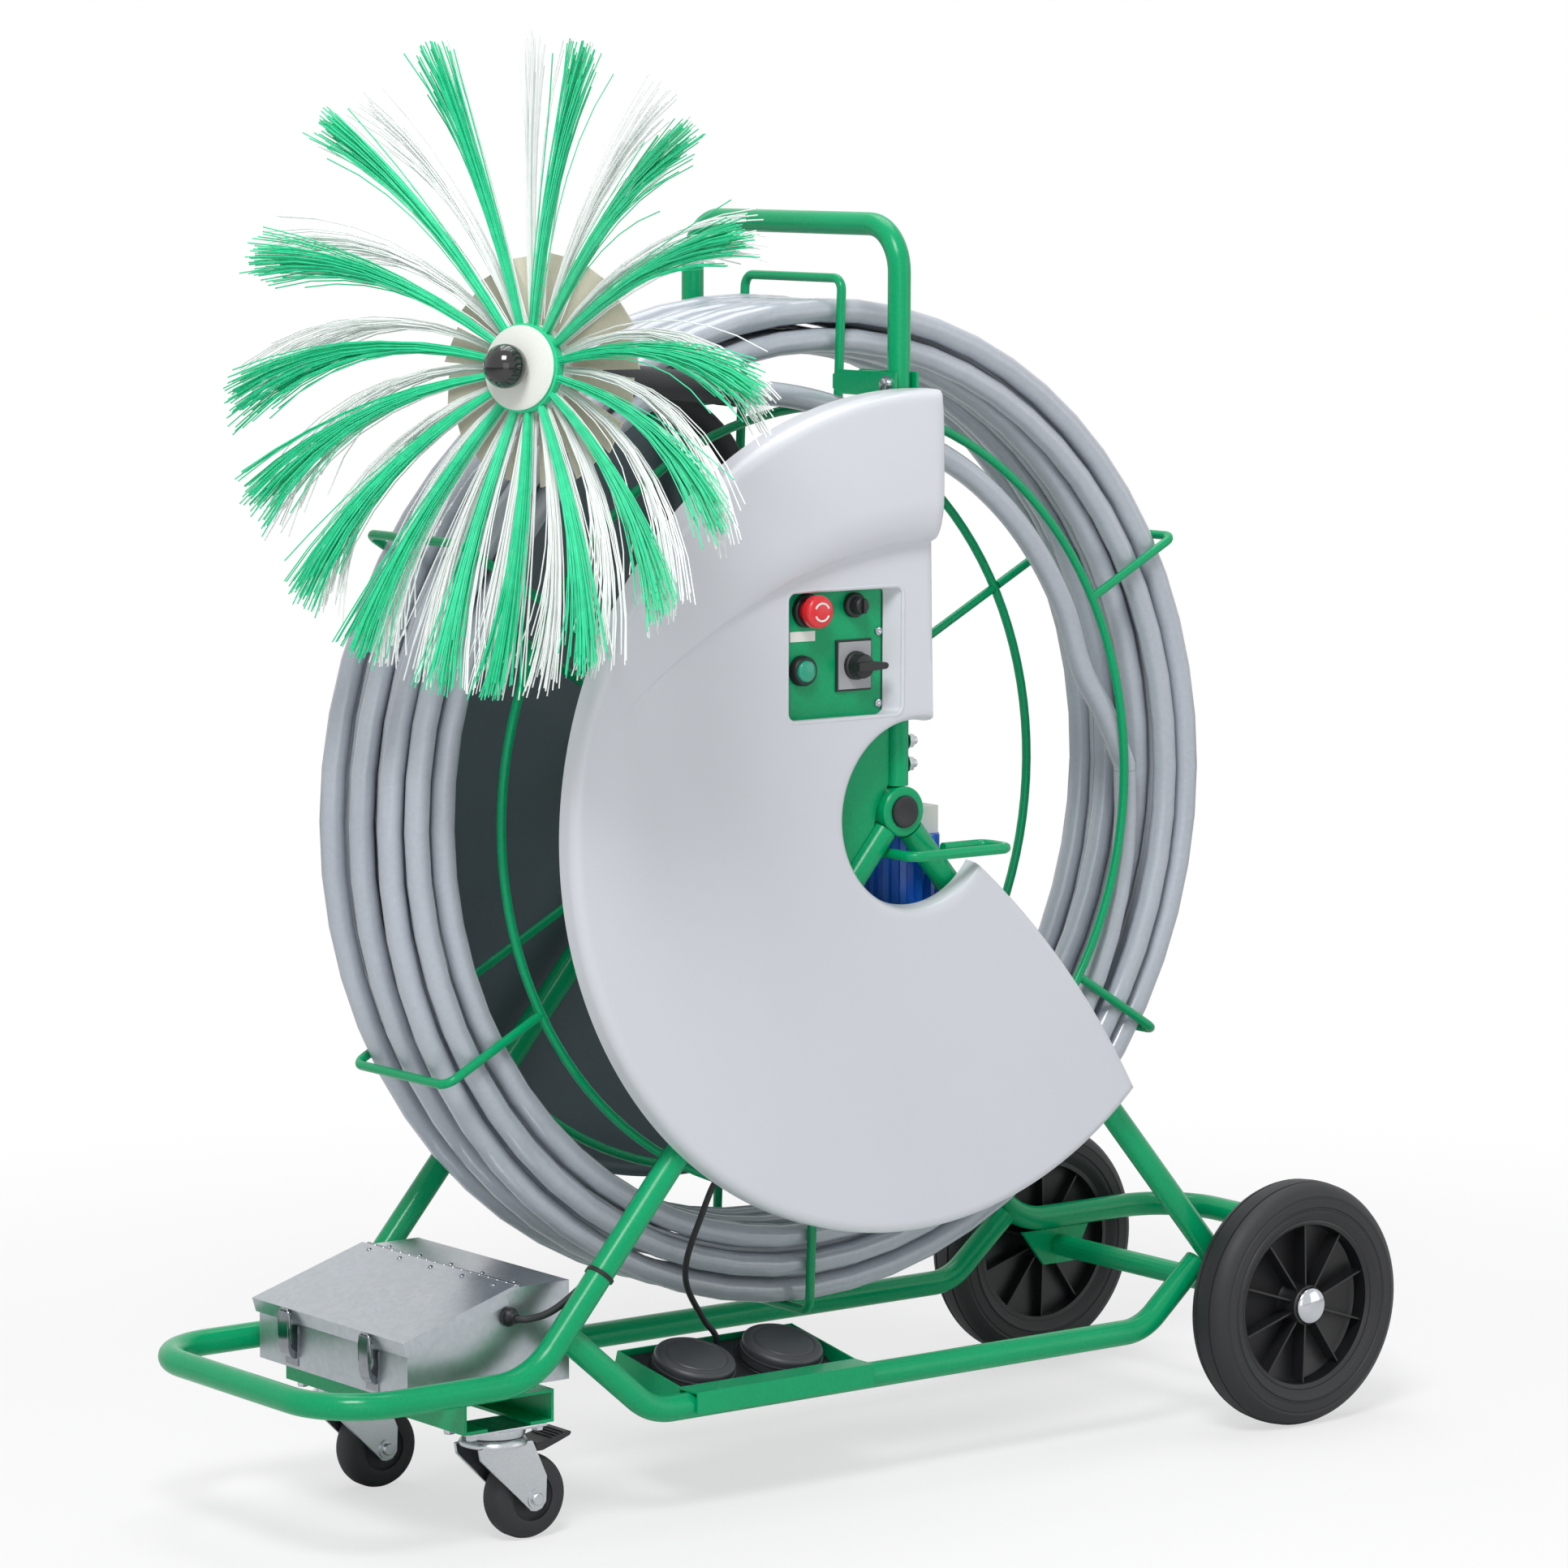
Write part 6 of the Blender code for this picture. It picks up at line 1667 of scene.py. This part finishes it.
@dataclass
class Controls:
    """The recessed panel with its switches, collars, label and screws, and the bolts on the upright."""

    panel: Point = (-0.0885, -0.1835, HUB_Z + 0.157)

    def spot(self, x: float, z: float, out: float = 0.0) -> Vector:
        """A point on the panel.

        Args:
            x: to the rear of the panel's middle.
            z: above it.
            out: towards the viewer from the panel's face.

        Returns:
            The point in the row frame.
        """
        return at((self.panel[0] + x, self.panel[1] - out, self.panel[2] + z))

    def plate(self, name: str, x: Point, z: Point, out: Point, finish: Finish,
              bevel: float = 0.0004) -> bpy.types.Object:
        """A flat plate on the panel.

        Args:
            name: the piece's name.
            x: its two ends to the rear of the panel's middle.
            z: its two ends above it.
            out: its back and its front from the panel's face.
            finish: its material.
            bevel: width of the broken edges.

        Returns:
            The new piece.
        """
        low, high = self.spot(x[0], z[0], out[1]), self.spot(x[1], z[1], out[0])
        return dress(Bench.slab(name, low, high, bevel), finish, "frame")

    def build(self) -> None:
        """Dresses the controls."""
        self.stop()
        self.selector()
        self.start()
        self.switch()
        self.panel_plate()
        self.plate("blank_label", (-0.0560, -0.0264), (0.0125, 0.0222), (0.0, 0.0007), NYLON)
        # A thin black strip where the pocket's right wall meets the panel: painted shade of the gap in that
        # corner.
        self.plate("panel_corner_painted_shade", (0.0520, 0.0533), (-0.0585, 0.0585), (0.0, 0.0006), BLACK_PP, 0.0002)
        screw = ((0, -0.0026), (0.0014, -0.0026), (0.0016, -0.0018), (0.0022, -0.0026), (0.0036, -0.0022),
                 (0.0042, -0.0010), (0.0042, 0.0003), (0, 0.0003))
        for index, z in enumerate((0.0178, -0.0500)):
            dress(Bench.lathe(f"panel_screw_{index}", screw, self.spot(0.0482, z), Axis.Y, 24),
                  CHROME, "frame")
        shank = ((0, 0), (0.0078, 0), (0.0080, 0.0003), (0.0080, 0.0011), (0.0078, 0.0014), (0.0040, 0.0014),
                 (0.0040, 0.0112), (0.0034, 0.0119), (0, 0.0119))
        nut = ((0, 0.0012), (0.0066, 0.0012), (0.0072, 0.0019), (0.0072, 0.0064),
               (0.0066, 0.0071), (0, 0.0071))
        for index, rise in enumerate((0.044, 0.066)):
            where = at((0.0108, -MAST_Y, HUB_Z + rise))
            parts = [Bench.lathe("bolt_shank", shank, where, Axis.X, 24),
                     Bench.lathe("bolt_nut", nut, where, Axis.X, 6)]
            dress(Bench.join(f"upright_bolt_{index}", parts), BRIGHT_ZINC, "frame")

    def panel_plate(self) -> None:
        """The flat panel, on two posts that reach the gusset."""
        bevel, half = 0.0004, 0.006
        low, high = self.spot(-0.0720, -0.0635), self.spot(0.0570, 0.0635, -0.0020)
        parts = [Bench.slab("panel_sheet", low, high, bevel)]
        for x in (-0.030, 0.030):
            low, high = self.spot(x - half, -half, -0.0010), self.spot(x + half, half, -0.0182)
            parts.append(Bench.slab("panel_post", low, high, bevel))
        dress(Bench.join("panel_on_posts", parts), GREEN_ENAMEL, "frame", "control_panel")

    def stop(self) -> None:
        """The red mushroom button on its black collar, with two plain arcs that show the way to turn it."""
        middle = self.spot(-0.0375, 0.0415)
        head = ((0, -0.0260), (0.0080, -0.0258), (0.0126, -0.0250), (0.0148, -0.0234), (0.0154, -0.0212),
                (0.0154, -0.0150), (0.0146, -0.0141), (0.0118, -0.0130), (0.0112, -0.0118),
                (0.0112, -0.0043), (0, -0.0043))
        dress(Bench.lathe("stop_head", head, middle, Axis.Y, 56), RED_ABS, "stop", "stop_button")
        arcs = []
        arc_r, sweep, steps = 0.0082, 130, 14
        for first in (25, 205):
            turns = [math.radians(first + sweep * step / steps) for step in range(steps + 1)]
            arcs.append([middle + Vector((arc_r * math.cos(a), -0.0257, arc_r * math.sin(a))) for a in turns])
        dress(Bench.tube("stop_arcs", arcs, 0.0010, 8), NYLON, "stop")
        collar = ((0.0118, -0.0068), (0.0146, -0.0068), (0.0158, -0.0056),
                  (0.0161, -0.0003), (0.0118, -0.0003))
        dress(Bench.lathe("stop_collar_ring", collar, middle, Axis.Y, 56), BLACK_PP, "frame")

    def selector(self) -> None:
        """The small black selector with its grip bar."""
        middle = self.spot(0.0185, 0.044)
        body = ((0, -0.0165), (0.0054, -0.0165), (0.0070, -0.0158), (0.0077, -0.0145), (0.0086, -0.0062),
                (0.0109, -0.0056), (0.0117, -0.0046), (0.0117, -0.0003), (0, -0.0003))
        low, high = Vector((-0.0019, -0.0195, -0.0070)), Vector((0.0019, -0.0120, 0.0070))
        grip = Bench.slab("selector_grip", middle + low, middle + high, 0.0006)
        parts = [Bench.lathe("selector_body", body, middle, Axis.Y, 48), grip]
        dress(Bench.join("selector_bat", parts), BLACK_PP, "selector", "selector_knob")

    def start(self) -> None:
        """The green push button in its black bezel."""
        middle = self.spot(-0.0428, -0.0145)
        cap = ((0, -0.0123), (0.0050, -0.0121), (0.0088, -0.0113), (0.0102, -0.0098),
               (0.0104, -0.0068), (0, -0.0068))
        dress(Bench.lathe("start_cap", cap, middle, Axis.Y, 48), GREEN_ABS, "start", "start_button")
        bezel = ((0.0108, -0.0086), (0.0124, -0.0086), (0.0138, -0.0072),
                 (0.0144, -0.0003), (0.0108, -0.0003))
        dress(Bench.lathe("start_bezel_ring", bezel, middle, Axis.Y, 48), BLACK_PP, "frame")

    def switch(self) -> None:
        """The grey plate on its black gasket, and the rotary switch's dial and lever."""
        x, z = 0.0185, -0.0125
        plate = self.plate("switch_face", (x - 0.0190, x + 0.0190), (z - 0.0222, z + 0.0222),
                           (0.0018, 0.0040), GREY_NYLON, 0.0006)
        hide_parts("switch_plate")
        self.plate("switch_gasket", (x - 0.0210, x + 0.0210), (z - 0.0242, z + 0.0242),
                   (0.0, 0.0020), BLACK_PP, 0.0005)
        middle = self.spot(x, z)
        dial = ((0, -0.0200), (0.0088, -0.0200), (0.0108, -0.0192), (0.0116, -0.0172), (0.0121, -0.0090),
                (0.0134, -0.0080), (0.0136, -0.0043), (0, -0.0043))
        bar = ((-0.0106, -0.0042), (0.0, -0.0044), (0.0150, -0.0038), (0.0225, -0.0031), (0.0248, -0.0016),
               (0.0248, 0.0016), (0.0225, 0.0031), (0.0150, 0.0038), (0.0, 0.0044), (-0.0106, 0.0042))
        parts = [Bench.lathe("switch_dial", dial, middle, Axis.Y, 56),
                 Bench.pulled("switch_bar", bar, -0.024, -0.014, Axis.Y, middle, 0.0010)]
        dress(Bench.join("switch_lever", parts), BLACK_PP, "switch", "switch_knob")


@dataclass
class KeptSolids:
    """CAD solids whose shape is already right: they keep it and take a finish."""

    nodes: dict[str, bpy.types.Object]

    def build(self) -> None:
        """Gives each kept node its finish."""
        kept = {
            GREEN_ENAMEL: ("control_gusset", "hose_bracket", "motor_bracket", "axle_carrier",
                           "caster_channel", "pedal_tray"),
            GALVANISED: ("tool_box", "box_lid"),
            BRIGHT_ZINC: ("reel_spindle",),
            BLUE_ENAMEL: ("motor",),
            NYLON: ("motor_terminal_box",),
            BLACK_PP: ("pedal_base",),
            CREAM_SHEET: ("brush_vanes",),
        }
        for finish, names in kept.items():
            for name in names:
                data = self.nodes[name].data
                data.materials.clear()
                data.materials.append(finish.material())
                LOG.info("%s keeps its solid", name)


def main(nodes: dict[str, bpy.types.Object]) -> None:
    """Builds the studio and every sub-assembly in order.

    Args:
        nodes: the CAD nodes by name.
    """
    Studio().build()
    reel = Reel()
    reel.build()
    Brush().build(reel.hose_path())
    TubeFrame().build()
    RearWheels().build()
    Casters().build()
    ToolBox().build()
    FootPedals().build()
    Covers().build()
    Controls().build()
    KeptSolids(nodes).build()


if __name__ == "__main__":
    logging.basicConfig(level=logging.INFO, format="%(name)s: %(message)s")
    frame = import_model()
    main(frame["nodes"])
